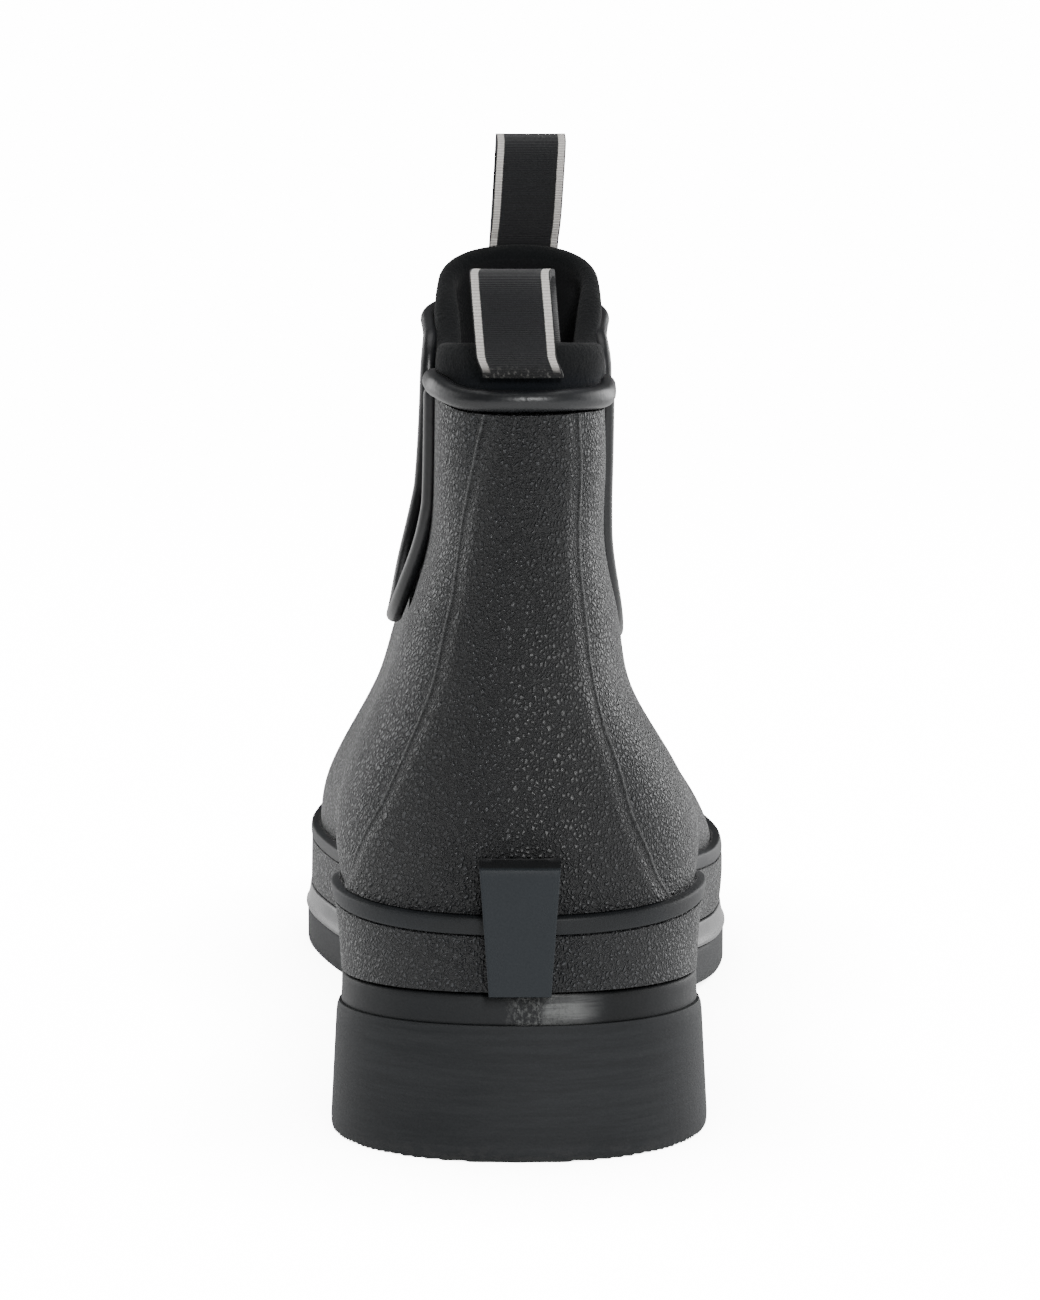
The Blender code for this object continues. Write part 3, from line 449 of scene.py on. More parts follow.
class Finish:
    """One material: a Principled shader with its constants set on its own sockets."""

    def __init__(self, name, **constants):
        self.material = bpy.data.materials.new(name)
        self.material.use_nodes = True
        self.tree = self.material.node_tree
        self.shader = self.tree.nodes["Principled BSDF"]
        for socket, value in constants.items():
            self.shader.inputs[socket.replace("_", " ")].default_value = value
        self.place, (self.x, self.y, self.z) = self.mapped("Object")

    def node(self, kind, settings=None, inputs=None, output=0):
        """A node of any type: its settings first, then the values or links of its sockets."""
        made = self.tree.nodes.new(kind)
        for key, value in (settings or {}).items():
            setattr(made, key, value)
        for key, value in (inputs or {}).items():
            if isinstance(value, Wire):
                self.tree.links.new(value.socket, made.inputs[key])
            else:
                made.inputs[key].default_value = value
        return Wire(self.tree, made.outputs[output])

    def mapped(self, kind):
        """A map of the surface, Object or UV, and its three values."""
        place = self.node("ShaderNodeTexCoord", output=kind)
        values = [self.node("ShaderNodeSeparateXYZ", inputs={0: place}, output=axis) for axis in (0, 1, 2)]
        return place, values

    def feed(self, **wires):
        for socket, wire in wires.items():
            self.tree.links.new(wire.socket, self.shader.inputs[socket.replace("_", " ")])

    def noise(self, scale, detail=2.0, rough=0.5, place=None):
        """Noise round a half, with about this many grains in a metre."""
        inputs = {"Vector": place or self.place, "Scale": scale, "Detail": detail, "Roughness": rough}
        return self.node("ShaderNodeTexNoise", inputs=inputs)

    def step(self, value, low, high):
        """Smooth step of a value, from 0 at low to 1 at high."""
        settings = {"interpolation_type": "SMOOTHSTEP"}
        inputs = {"Value": value, "From Min": low, "From Max": high}
        return self.node("ShaderNodeMapRange", settings, inputs)

    def window(self, value, rise, risen, fall, fallen):
        """Smooth window: up between its first two ends and down again between its last two."""
        return self.step(value, rise, risen) * (1 - self.step(value, fall, fallen))

    def mix(self, share, first, second):
        """Colour between two colours or colour links."""
        colours = {6: first, 7: second}
        for key, value in colours.items():
            if not isinstance(value, Wire):
                colours[key] = (*value, 1.0)
        return self.node("ShaderNodeMix", {"data_type": "RGBA"}, {0: share, **colours}, output=2)

    def stretched(self, x, y, z):
        return self.node("ShaderNodeVectorMath", {"operation": "MULTIPLY"}, {0: self.place, 1: (x, y, z)})

    def relief(self, height, depth):
        """Bump of a height between 0 and 1 over a real depth in metres."""
        inputs = {"Height": height, "Distance": depth, "Strength": 1.0}
        return self.node("ShaderNodeBump", inputs=inputs, output="Normal")


RUBBER_VALLEY = (0.0030, 0.0036, 0.0044)
RUBBER_CROWN = (0.0275, 0.0300, 0.0335)
RUBBER_WORN = (0.0400, 0.0430, 0.0475)
# Pale colour of the painted glints on the grain's crowns, a painted highlight
RUBBER_GLINT = (0.1050, 0.1070, 0.1060)
GRAIN_PITCH = 0.00080
GRAIN_DEPTH = 0.00072
GRAIN_BEND = 0.0010

# Patch of painted glints at the back of the heel: the ends between which it fades in and out
GLINT_BEHIND = (-0.0300, -0.0180)
GLINT_UP = (0.040, 0.058, 0.082, 0.118)
GLINT_ACROSS = (-0.0060, 0.0020, 0.0080, 0.0190)
EDGE_LINE = (0.0002, 0.0004, 0.0007, 0.0010)


def grained_rubber(name, tone=1.0, lined=False):
    """Leather grain: cells of one pitch bent by noise, raised between their edges, with finer
    pits on top. Crowns are smoother and paler than the valleys, and the colour drifts softly.
    Right of the middle of the heel's back some crowns are painted pale as glints, a painted
    highlight, and the moulded lines of a lined panel carry part of that painted highlight."""
    made = Finish(name, Specular_IOR_Level=0.5)
    bend = made.noise(900.0)
    sideways = made.node("ShaderNodeCombineXYZ", inputs={0: bend - 0.5, 1: 0.5 - bend, 2: bend - 0.5})
    bent = made.node("ShaderNodeVectorMath", {"operation": "MULTIPLY_ADD"},
                     {0: sideways, 1: 3 * (GRAIN_BEND,), 2: made.stretched(1.0, 1.0, 0.80)})
    packing = {"Vector": bent, "Scale": 1.0 / GRAIN_PITCH, "Randomness": 1.0}
    cells = made.node("ShaderNodeTexVoronoi", {"feature": "DISTANCE_TO_EDGE"}, packing)
    crown = made.step(cells, 0.02, 0.34)
    each = made.node("ShaderNodeTexVoronoi", {"feature": "F1"}, packing, "Color")
    own = made.node("ShaderNodeSeparateColor", inputs={0: each})
    pits = made.noise(4200.0)
    height = crown * (0.45 + 0.55 * own) + 0.25 * pits
    broad = made.noise(26.0, 4.0)
    patch = made.noise(140.0, 3.0)
    shade = made.step(broad * 0.6 + patch * 0.4, 0.38, 0.64)
    colours = RUBBER_VALLEY, RUBBER_CROWN, RUBBER_WORN
    valley, raised, worn = ([tone * part for part in colour] for colour in colours)
    # The patch named rubbed here is where crowns are painted pale as glints, a painted highlight
    rubbed = made.window(made.z, *GLINT_UP) * made.window(made.x, *GLINT_ACROSS)
    rubbed = rubbed * (1 - made.step(made.y, *GLINT_BEHIND))
    glint = rubbed * made.step(own, -0.10, 0.50) * made.step(cells, 0.10, 0.28)
    show = crown * (0.6 + 0.4 * own)
    if lined:
        _, (from_edge, _, _) = made.mapped("UV")
        line = made.window(from_edge, *EDGE_LINE)
        # The moulded edge line takes crown colour and part of the glint colour: a painted highlight along it
        glint = glint.highest(line * 0.55)
        show = show.highest(line)
    top = made.mix(glint, made.mix(shade, raised, worn), RUBBER_GLINT)
    made.feed(Base_Color=made.mix(show, valley, top),
              Roughness=0.58 - 0.28 * crown + 0.12 * (broad - 0.5) + 0.06 * (patch - 0.5),
              Normal=made.relief(height, GRAIN_DEPTH))
    return made.material


def knit_lining():
    """Brushed lining: soft fine noise, dark and without gloss."""
    made = Finish("shell_lining", Roughness=0.95, Specular_IOR_Level=0.2, Sheen_Weight=0.06)
    fuzz = made.noise(2600.0, 3.0)
    lining = made.mix(fuzz, (0.0050, 0.0052, 0.0058), (0.0120, 0.0125, 0.0140))
    made.feed(Base_Color=lining, Normal=made.relief(fuzz, 0.00025))
    return made.material


# Flex marks of the rubber as troughs, four over the front of ankle and foot and two at the back of
# the heel: middle turn, y and z, half length round the foot, half width up it, depth
CREASES = (
    (0.5, 0.0950, 0.0880, 0.110, 0.0070, 0.00050), (0.5, 0.0880, 0.1030, 0.090, 0.0050, 0.00030),
    (0.5, 0.1500, 0.0500, 0.100, 0.0050, 0.00035), (0.5, 0.1640, 0.0470, 0.085, 0.0040, 0.00025),
    (0.0, -0.0270, 0.0950, 0.030, 0.0110, 0.00045), (0.0, -0.0300, 0.0760, 0.022, 0.0080, 0.00025))


def flexed(u, v):
    """Lift of the rubber: minus each trough's depth times a bell in the way up the shell and
    a wider bell in the turn round it."""
    point = skin(u, v)
    lift = np.zeros(point.shape[:-1])
    for middle, y, z, reach, width, depth in CREASES:
        turn = np.abs((u - middle + 0.5) % 1.0 - 0.5)
        off = np.hypot(point[..., 2] - z, 0.6 * (point[..., 1] - y)) / width
        lift = lift - depth * np.exp(-off ** 2) * np.exp(-(turn / reach) ** 2)
    return lift


SHELL_ROWS = 44
BELT_RISE = -0.0030
REAR_COLUMNS = 60
FRONT_COLUMNS = 110
LEG_COLUMNS = 34


def shell_columns():
    """Turn and height of the shell's top edge, and the turn of each column at the belt just
    under the cut-outs: rear rim, outer U, front rim, inner U. At the belt the columns of a U
    spread between its ends by the mean of their walk along it and their share of its span."""
    reach = 0.5 * GUSSET_BEAD + 0.4 * GAP
    outer_u, outer_v, outer_walk = under_rim(1, LEG_COLUMNS, reach)
    inner_u, inner_v, inner_walk = under_rim(-1, LEG_COLUMNS, reach)
    inner_u, inner_v = inner_u[::-1], inner_v[::-1]
    rear = np.linspace(inner_u[-1] - 1.0, outer_u[0], REAR_COLUMNS)[1:-1]
    front = np.linspace(outer_u[-1], inner_u[0], FRONT_COLUMNS)[1:-1]
    top_u = np.concatenate((rear, outer_u, front, inner_u))
    rims = [at_height(part, rim_edge(part)) for part in (rear, front)]
    top_v = np.concatenate((rims[0], outer_v, rims[1], inner_v))
    outer_corner = len(rear) + len(outer_u) - 1
    for corner in (outer_corner, outer_corner + len(front) + 1):
        top_u, top_v = rounded(top_u, top_v, corner)

    def spread(u, walk):
        low, high = min(u[0], u[-1]), max(u[0], u[-1])
        share = 0.5 * walk + 0.5 * (u - u[0]) / (u[-1] - u[0])
        return low + (high - low) * np.maximum.accumulate(share)
    belt_u = np.concatenate((rear, spread(outer_u, outer_walk), front, spread(inner_u, inner_walk)))
    return top_u, top_v, belt_u


top_u, top_v, belt_u = shell_columns()
belt_z = min(GUSSET_FLOOR.values()) - 0.5 * GUSSET_BEAD + BELT_RISE
belt_v = at_height(belt_u, belt_z)
foot_rows = np.linspace(0.0, 1.0, SHELL_ROWS)[:, None]
shaft_rows = np.linspace(0.0, 1.0, SHELL_ROWS)[1:, None]
shell_u = np.concatenate((belt_u + 0.0 * foot_rows, belt_u + (top_u - belt_u) * shaft_rows))
shell_v = np.concatenate((belt_v * foot_rows, belt_v + (top_v - belt_v) * shaft_rows))
shell_lift = flexed(shell_u, shell_v)
outside = last(shell_u, shell_v, shell_lift)
inside = last(shell_u, shell_v, shell_lift - WALL)
inside[0, :, 2] = outside[0, :, 2]
shell_rubber = grained_rubber("shell_rubber")
shell_lining = knit_lining()
rows = len(outside)
shell = grid("shell", np.concatenate((outside, inside[::-1])), shell_rubber, along=True, around=True,
             second=(shell_lining, np.arange(rows, 2 * rows - 1)))
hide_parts("upper")
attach(shell, "root")


# The foxing
# A strip of the same grained rubber wrapped round the foot over the shell's lower edge, with a
# smooth moulded rib along its top that has a fine groove above and below it.

FOXING_HEIGHT = 0.0130
FOXING_THICKNESS = 0.0016
RIB_HEIGHT = 0.0030
RIB_PROUD = 0.0002
STRIP_LIFT = SKIN_FIT + FOXING_THICKNESS
RIB_COLUMNS = 420
foxing_share = steady((0.00, 0.14, 0.42, 0.70, 1.00), (0.95, 1.22, 1.12, 1.00, 1.06))


def rib_height(u):
    """Middle of the rib above the seat line: the strip's height times its share."""
    return FOXING_HEIGHT * foxing_share(share_at(u))


def foxing_section(rib):
    """Height above the seat line and lift off the last, from the inner foot of the strip up
    its face, over the rib with its two grooves, and down its back."""
    low, high = rib - 0.5 * RIB_HEIGHT, rib + 0.5 * RIB_HEIGHT
    crown = STRIP_LIFT + RIB_PROUD
    face = [(share * low, STRIP_LIFT) for share in (0.0, 0.15, 0.35, 0.6, 0.82)]
    groove = [(low - 0.0004, STRIP_LIFT), (low - 0.0002, STRIP_LIFT - 0.0006), (low, STRIP_LIFT - 0.0006)]
    bead = [(rib + 0.5 * RIB_HEIGHT * np.sin(angle), crown - 0.00035 * (1 - np.cos(angle) ** 0.5))
            for angle in np.linspace(-0.46 * pi, 0.46 * pi, 9)]
    back = [(high + 0.0001, STRIP_LIFT - 0.0004), (high + 0.0003, SKIN_FIT + 0.0001),
            (high + 0.0004, SKIN_FIT - 0.0004), (0.75 * high, SKIN_FIT - 0.0004),
            (0.4 * high, SKIN_FIT - 0.0004), (0.0 * high, SKIN_FIT - 0.0004)]
    return face + groove + bead + back


turns = np.arange(RIB_COLUMNS) / RIB_COLUMNS
section = foxing_section(rib_height(turns))
strip = np.array([last(turns, above_seat(turns, height), lift) for height, lift in section])
strip[0, :, 2] = seat(strip[0, :, 1])
strip[-1, :, 2] = seat(strip[-1, :, 1])
RIB_ROWS = np.arange(7, 18)


def smooth_rubber(name, colour, roughness, gloss):
    """Smooth moulded rubber: even gloss broken by handling marks, and a faint waviness."""
    made = Finish(name, Specular_IOR_Level=gloss)
    haze = made.noise(55.0, 5.0, 0.6)
    fine = made.noise(1500.0, 2.0)
    made.feed(Base_Color=made.mix(made.step(haze, 0.42, 0.68), colour, [1.7 * part for part in colour]),
              Roughness=roughness + 0.16 * (haze - 0.5) + 0.05 * (fine - 0.5),
              Normal=made.relief(fine * 0.4 + haze, 0.00012))
    return made.material


rib_rubber = smooth_rubber("rib_rubber", (0.0062, 0.0073, 0.0088), 0.56, 0.35)
foxing = grid("foxing_strip", strip, shell_rubber, along=True, around=True, sharp=0.9,
              second=(rib_rubber, RIB_ROWS))
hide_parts("foxing")
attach(foxing, "root")


# The back panel
# A second layer of the grained rubber up the back of the heel and shaft, its two edges marked by
# fine moulded lines that run from the rim out to the rib.

# Its edges as shares of the turn at which the heel's round back ends, from the rib up
PANEL_UP = (0.00, 0.05, 0.09, 0.22, 0.34, 0.48, 0.60, 0.75, 0.90, 1.00)
PANEL_INNER = (0.763, 0.656, 0.613, 0.494, 0.451, 0.428, 0.432, 0.516, 0.391, 0.297)
PANEL_OUTER = (0.576, 0.502, 0.467, 0.393, 0.398, 0.444, 0.447, 0.482, 0.485, 0.487)
PANEL_LIFT = SKIN_FIT + 0.0005
PANEL_FOOT = 0.0001
PANEL_SPAN = 0.04
PANEL_ROWS = 150
PANEL_COLUMNS = 110
LINE_HEIGHT = 0.00024
LINE_WIDTH = 0.00026
PANEL_SLOPE = 0.0045


def panel_points():
    """Rows climb from over the rib to under the rear bead, columns run between the two edges
    at even turns. The lift is the layer's, plus a narrow bell for the line just inside either
    edge, and it falls to the shell at the edge itself."""
    up = np.linspace(0.0, 1.0, PANEL_ROWS)
    over_rib = 0.5 * RIB_HEIGHT + 0.0005
    foot = above_seat(0.0, rib_height(0.0) + over_rib)
    head = at_height(0.0, rim_edge(0.0))
    z = skin(0.0, foot + (head - foot) * up)[:, 2]
    share = (z - z[0]) / (z[-1] - z[0])
    round_turn = turn_at(HEEL_ROUND)
    inner_turn = -round_turn * steady(PANEL_UP, PANEL_INNER)(share)[:, None]
    outer_turn = round_turn * steady(PANEL_UP, PANEL_OUTER)(share)[:, None]
    near = np.array((0.0, 0.0001, 0.0003, 0.0005, 0.0007, 0.0009, 0.0012, 0.0016, 0.0022)) / PANEL_SPAN
    across = np.concatenate((near, np.linspace(near[-1], 1 - near[-1], PANEL_COLUMNS)[1:-1], 1 - near[::-1]))
    u = inner_turn + (outer_turn - inner_turn) * across
    low = above_seat(u, rib_height(u) + over_rib)
    v = low + (at_height(u, rim_edge(u)) - low) * up[:, None]
    walk = walked(skin(u, v))
    reach = np.minimum(walk, walk[:, -1:] - walk)
    line = LINE_HEIGHT * np.exp(-((reach - 0.0006) / LINE_WIDTH) ** 2)
    layer = PANEL_FOOT + (PANEL_LIFT - PANEL_FOOT) * step(reach, -0.0005, PANEL_SLOPE)
    lift = flexed(u, v) + layer + line
    return u, v, lift, reach


panel_u, panel_v, panel_lift, panel_reach = panel_points()
panel_map = np.stack((panel_reach, 0.0 * panel_reach), axis=-1)
panel_face = last(panel_u, panel_v, panel_lift)
panel_back = last(panel_u, panel_v, flexed(panel_u, panel_v) + 0.5 * PANEL_FOOT)
panel_rubber = grained_rubber("panel_rubber", 0.72, lined=True)
panel = grid("back_panel", np.concatenate((panel_face, panel_back[::-1])), panel_rubber, along=True,
             sharp=1.2, maps=np.concatenate((panel_map, panel_map[::-1])))
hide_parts("counter")
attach(panel, "root")


# The rim and gusset piping
# Smooth extruded rubber cord laid over the shell's cut edges: a thick one with swollen ends on the
# rear rim, and a thin one over the front rim and round both cut-outs, in three lengths.

PIPE_SIDES = 20
PIPE_CAP = 7
CORD_STEPS = 80
REAR_STEPS = 281
FRONT_SINK = {1: 0.0019, -1: 0.0007}
smooth_black = smooth_rubber("piping_rubber", (0.0075, 0.0082, 0.0094), 0.38, 0.5)


def piping(name, u, v, lift, radius, node):
    """A circle of the radius carried along the path on the last, spun between the way out
    and the way across, closed by half balls at its two ends."""
    centre = last(u, v, lift)
    run = unit(np.gradient(centre, axis=0))
    out = last(u, v, lift + 0.001) - centre
    out = unit(out - np.sum(out * run, axis=1, keepdims=True) * run)
    across = np.cross(run, out)
    cap = np.linspace(0.0, 0.5 * pi, PIPE_CAP + 1)[:-1]
    stations = np.clip(np.arange(-PIPE_CAP, len(u) + PIPE_CAP), 0, len(u) - 1)
    shrink = np.concatenate((np.sin(cap), np.ones(len(u)), np.sin(cap)[::-1]))
    slide = np.concatenate((-np.cos(cap), np.zeros(len(u)), np.cos(cap)[::-1]))
    radius = np.broadcast_to(radius, (len(u),))[stations]
    middle = centre[stations] + run[stations] * (radius * slide)[:, None]
    angle = (2 * pi * np.arange(PIPE_SIDES) / PIPE_SIDES)[:, None]
    spokes = np.cos(angle) * out[stations][:, None] + np.sin(angle) * across[stations][:, None]
    points = middle[:, None] + spokes * (radius * shrink)[:, None, None]
    made = grid(name, points, smooth_black, around=True, sharp=1.4)
    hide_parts(node)
    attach(made, "root")


def rim_turn(outward):
    """Turn where the middle of the rim crosses the rear leg of a U."""
    path = gusset_path(outward, 60)
    leg = path[:len(path) // 2]
    u, _ = at_side(leg[:, 0], leg[:, 1], outward)
    return u[np.argmin(np.abs(leg[:, 1] - rim_height(u)))]


def cord_path():
    """u, v and lift of the thin cord's middle, from the outer U's rear leg round its floor, over
    the front rim and down round the inner U, and the places of its two rounded corners."""
    outer_u, outer_v, _ = under_rim(1, CORD_STEPS, 0.0, True)
    inner_u, inner_v, _ = under_rim(-1, CORD_STEPS, 0.0, True)
    front_u = np.linspace(outer_u[-1], inner_u[-1], 2 * CORD_STEPS)[1:-1]
    u = np.concatenate((outer_u, front_u, inner_u[::-1]))
    v = np.concatenate((outer_v, at_height(front_u, rim_height(front_u)), inner_v[::-1]))
    corners = len(outer_u) - 1, len(outer_u) + len(front_u)
    outer_half = np.arange(len(u)) < len(u) // 2
    floor = np.where(outer_half, GUSSET_FLOOR[1], GUSSET_FLOOR[-1])
    deep = np.clip(1 - (skin(u, v)[:, 2] - floor) / GUSSET_ARC, 0.0, 1.0)
    flare = deep * np.where(outer_half, GUSSET_FLARE[1], GUSSET_FLARE[-1])
    for corner in corners:
        u, v = rounded(u, v, corner)
    sink = np.where(outer_half, FRONT_SINK[1], FRONT_SINK[-1])
    ahead = sink * step(share_at(u), 0.60, 0.74) * step(skin(u, v)[:, 2], 0.138, 0.150)
    return u, v, GUSSET_PROUD - 0.5 * GUSSET_BEAD + flare - ahead, corners


cord_u, cord_v, cord_lift, (first, second) = cord_path()
for name, node, part in (("gusset_cord_lateral", "gusset_piping_lateral", slice(0, first + 1)),
                         ("front_rim_cord", "front_rim_piping", slice(first, second + 1)),
                         ("gusset_cord_medial", "gusset_piping_medial", slice(second, None))):
    piping(name, cord_u[part], cord_v[part], cord_lift[part], 0.5 * GUSSET_BEAD, node)

# The thick cord tapers from its swollen ends to its middle, where it is joined
rear_u = np.linspace(rim_turn(-1) - 1.0, rim_turn(1), REAR_STEPS)
along_rim = np.linspace(-1.0, 1.0, REAR_STEPS)
swell = np.exp(-((1 - np.abs(along_rim)) / 0.42) ** 2)
joint = np.exp(-((along_rim - 0.02) / 0.010) ** 2)
piping("rear_rim_cord", rear_u, at_height(rear_u % 1.0, rim_height(rear_u)), -WALL + 0.5 * REAR_BEAD,
       0.5 * REAR_BEAD * (0.92 + 0.14 * swell - 0.025 * joint), "rear_rim_piping")


# The knit sleeve
# A sock of foam faced with stretch knit and lined, glued inside the shell. It shows in the two
# cut-outs and stands above the rubber as a rear flap and a front arch with a rolled, bound edge.

SLEEVE_WALL = 0.0030
REAR_FLAP = 0.1477
FRONT_ARCH = 0.1662
SLEEVE_DEPTH = 0.065
SLEEVE_COLUMNS = 300
SLEEVE_LINED = np.arange(40, 69)
sleeve_share = steady((0.00, 0.13, 0.22, 0.42, 0.64, 0.82, 1.00),
                      (0.00, 0.00, -0.33, -0.42, -0.16, 0.48, 1.00))
SLEEVE_LIFT = -(WALL + SKIN_FIT)
ROLL_SWELL = 0.0005
CLOTH_FILL = 0.0012
FLAP_FLARE = 0.0024


def stretch_knit():
    """Fuzzy knit above the rim: fine noise lit by sheen. In the cut-outs the same cloth is
    stretched smooth and looks a little bluer."""
    made = Finish("sleeve_knit", Roughness=0.95, Specular_IOR_Level=0.2, Sheen_Weight=0.05,
                  Sheen_Roughness=0.5)
    fuzz = made.noise(3400.0, 4.0, 0.7)
    tuft = made.noise(900.0)
    loops_of_yarn = made.node("ShaderNodeTexVoronoi", {"feature": "F1"},
                              {"Vector": made.stretched(1.0, 1.0, 0.75), "Scale": 1500.0})
    rubbed = made.step(made.z, 0.1400, 0.1440)
    black = made.mix(fuzz, (0.0018, 0.0023, 0.0026), (0.0105, 0.0118, 0.0130))
    blue = made.mix(fuzz, (0.0030, 0.0042, 0.0062), (0.0075, 0.0098, 0.0135))
    made.feed(Base_Color=made.mix(rubbed, blue, black),
              Normal=made.relief(fuzz * 0.6 + tuft * 0.5 + loops_of_yarn * 0.3, 0.00030))
    return made.material


def sleeve_points():
    """Rows go up the outer face, round the rolled edge on a half circle, and down the lining.
    Near the edge the wall swells by a bell into the roll, with a shallow groove under it."""
    u = np.arange(SLEEVE_COLUMNS) / SLEEVE_COLUMNS
    along = share_at(u)
    top = REAR_FLAP + (FRONT_ARCH - REAR_FLAP) * sleeve_share(along)
    low = REAR_RIM + (FRONT_RIM - REAR_RIM) * along - SLEEVE_DEPTH
    half = 0.5 * SLEEVE_WALL
    down = np.concatenate((np.linspace(1.0, 0.22, 14), np.linspace(0.20, 0.0, 16)))
    height = top - half - (top - half - low) * down[:, None]
    under = top - half - height
    swell = ROLL_SWELL * np.exp(-((under - 0.0012) / 0.0017) ** 2)
    groove = -0.00035 * np.exp(-((under - 0.0049) / 0.0007) ** 2)
    bulge = swell + groove
    v = at_height(u, height)
    filled = CLOTH_FILL * step(along, 0.26, 0.36) * (1 - step(along, 0.76, 0.88))
    corners = step(along, 0.02, 0.13) * (1 - step(along, 0.24, 0.34))
    flare = FLAP_FLARE * corners * step(height - rim_height(u), -0.0020, 0.0030)
    outer = last(u, v, SLEEVE_LIFT + bulge + filled + flare)
    inner = last(u, v, SLEEVE_LIFT - SLEEVE_WALL - bulge + flare)
    angle = np.linspace(0.0, pi, 11)[1:-1, None]
    middle = at_height(u, top - half)
    thick = half + bulge[-1] + 0.5 * filled
    arch = last(u, middle, SLEEVE_LIFT - half + 0.5 * filled + flare[-1] + thick * np.cos(angle))
    arch[..., 2] += half * np.sin(angle)
    return np.concatenate((outer, arch, inner[::-1]))


sleeve = grid("sleeve", sleeve_points(), stretch_knit(), along=True, around=True, sharp=1.4,
              second=(shell_lining, SLEEVE_LINED))
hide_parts("bootie")
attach(sleeve, "root")


# The pull loops
# Plain black grosgrain tape with a cream stripe woven in near each edge, folded into a loop and
# sewn on: one over the rear flap, one standing up in front of the arch.

LOOP_WIDTH = 0.0145
WEBBING = 0.0013
TAPE_COLUMNS = 28
TAPE_ROWS = 150
REAR_LOOP_TOP = 0.1612
REAR_LOOP_FOOT = 0.0022
REAR_LOOP_LEAN = -0.0016
REAR_LOOP_BULGE = 0.0062
REAR_LOOP_TAIL = 0.0105
FRONT_LOOP_TOP = 0.1888
FRONT_LOOP_OPEN = 0.0085
FRONT_LOOP_LEAN = 0.0020
STRIPE_INSET = 0.00025
STRIPE_WIDTH = 0.00135
TAPE_RIB = 0.00036
TAPE_WARP = 0.00030
STRIPE_RIB = 0.00056
TACK_FOOT = 0.1423
TACK_TOP = 0.1444


def grosgrain():
    """Woven tape in its own map, metres in from its edge and along it: cross ribs as a sine of
    the length, warp threads as a finer sine of the width, cream warp in two stripes. The
    rear loop's foot is sewn down with a bar tack, painted on: there the stripes stop and the
    tape is painted darker as shade, with pale specks for the stitches and their painted glints."""
    made = Finish("loop_tape", Roughness=0.85, Specular_IOR_Level=0.3, Sheen_Weight=0.15)
    _, (from_edge, along, _) = made.mapped("UV")
    wander = made.noise(700.0)
    rib = along.ripple(TAPE_RIB)
    warp = from_edge.ripple(TAPE_WARP)
    far = STRIPE_INSET + STRIPE_WIDTH
    stripe = made.window(from_edge + 0.00012 * (wander - 0.5), STRIPE_INSET - 0.00008,
                         STRIPE_INSET + 0.00008, far - 0.0001, far + 0.0001)
    fuzz = made.noise(4200.0)
    # Band at the rear loop's foot where the bar tack is sewn: stripes stop and the tape is painted darker, a
    # painted shadow
    tack_and_shadow = 1 - made.step(made.z + 0.0006 * (wander - 0.5), TACK_FOOT, TACK_TOP)
    stripe = stripe * (1 - tack_and_shadow)
    # Pale specks for the bar tack's stitches and their painted glints, a painted highlight
    thread_glint = tack_and_shadow * made.step(made.noise(1700.0, 2.0, 0.5, made.stretched(1.0, 1.0, 0.45)), 0.54, 0.64)
    black = made.mix(rib * 0.6 + fuzz * 0.4, (0.0055, 0.0058, 0.0068), (0.0180, 0.0188, 0.0210))
    black = made.mix(tack_and_shadow * 0.7, black, (0.0035, 0.0036, 0.0040))
    black = made.mix(thread_glint * 0.7, black, (0.130, 0.128, 0.124))
    pick = along.ripple(STRIPE_RIB)
    cream = made.mix(pick * 0.6 + fuzz * 0.4, (0.520, 0.490, 0.460), (0.980, 0.950, 0.910))
    made.feed(Base_Color=made.mix(stripe, black, cream),
              Normal=made.relief(rib * 0.7 + warp * 0.15 + fuzz * 0.25, 0.00016))
    return made.material


def on_tape(x, z, away, front, lean):
    """Point of a band that lies its distance out from the sleeve's middle face at its height.
    Above the sleeve it keeps the shape of the edge. It leans sideways, its inner ply lies
    further to the outer side, and its sewn foot is drawn to that side too."""
    start, way, top = (0.5, -np.sign(x), FRONT_ARCH) if front else (0.0, np.sign(x), REAR_FLAP)
    v = at_height(np.full(x.shape, start), np.minimum(z, top))
    lift = SLEEVE_LIFT - 0.5 * SLEEVE_WALL + away
    turn = solve(lambda u: np.abs(last(start + way * u, v, lift)[..., 0]), 0.0, 0.12, np.abs(x))
    y = last(start + way * turn, v, lift)[..., 1]
    foot, ply, drawn = (FRONT_RIM, 0.0004, 0.0) if front else (REAR_RIM, 0.0010, 0.0009)
    inner = ply * (1 - step(away, -0.0015, 0.0035))
    sewn = drawn * (1 - step(z - foot, 0.0042, 0.0084))
    return np.stack((x + lean * (z - foot) + inner + sewn, y, z), axis=-1)


def tape_face(line, front, lean):
    """Grid across a band along a line of distances and heights."""
    across = 0.5 * LOOP_WIDTH * np.linspace(-1.0, 1.0, TAPE_COLUMNS + 1)
    away, height, x = np.broadcast_arrays(*np.asarray(line).T[:, :, None], across)
    return on_tape(x, height, away, front, lean)


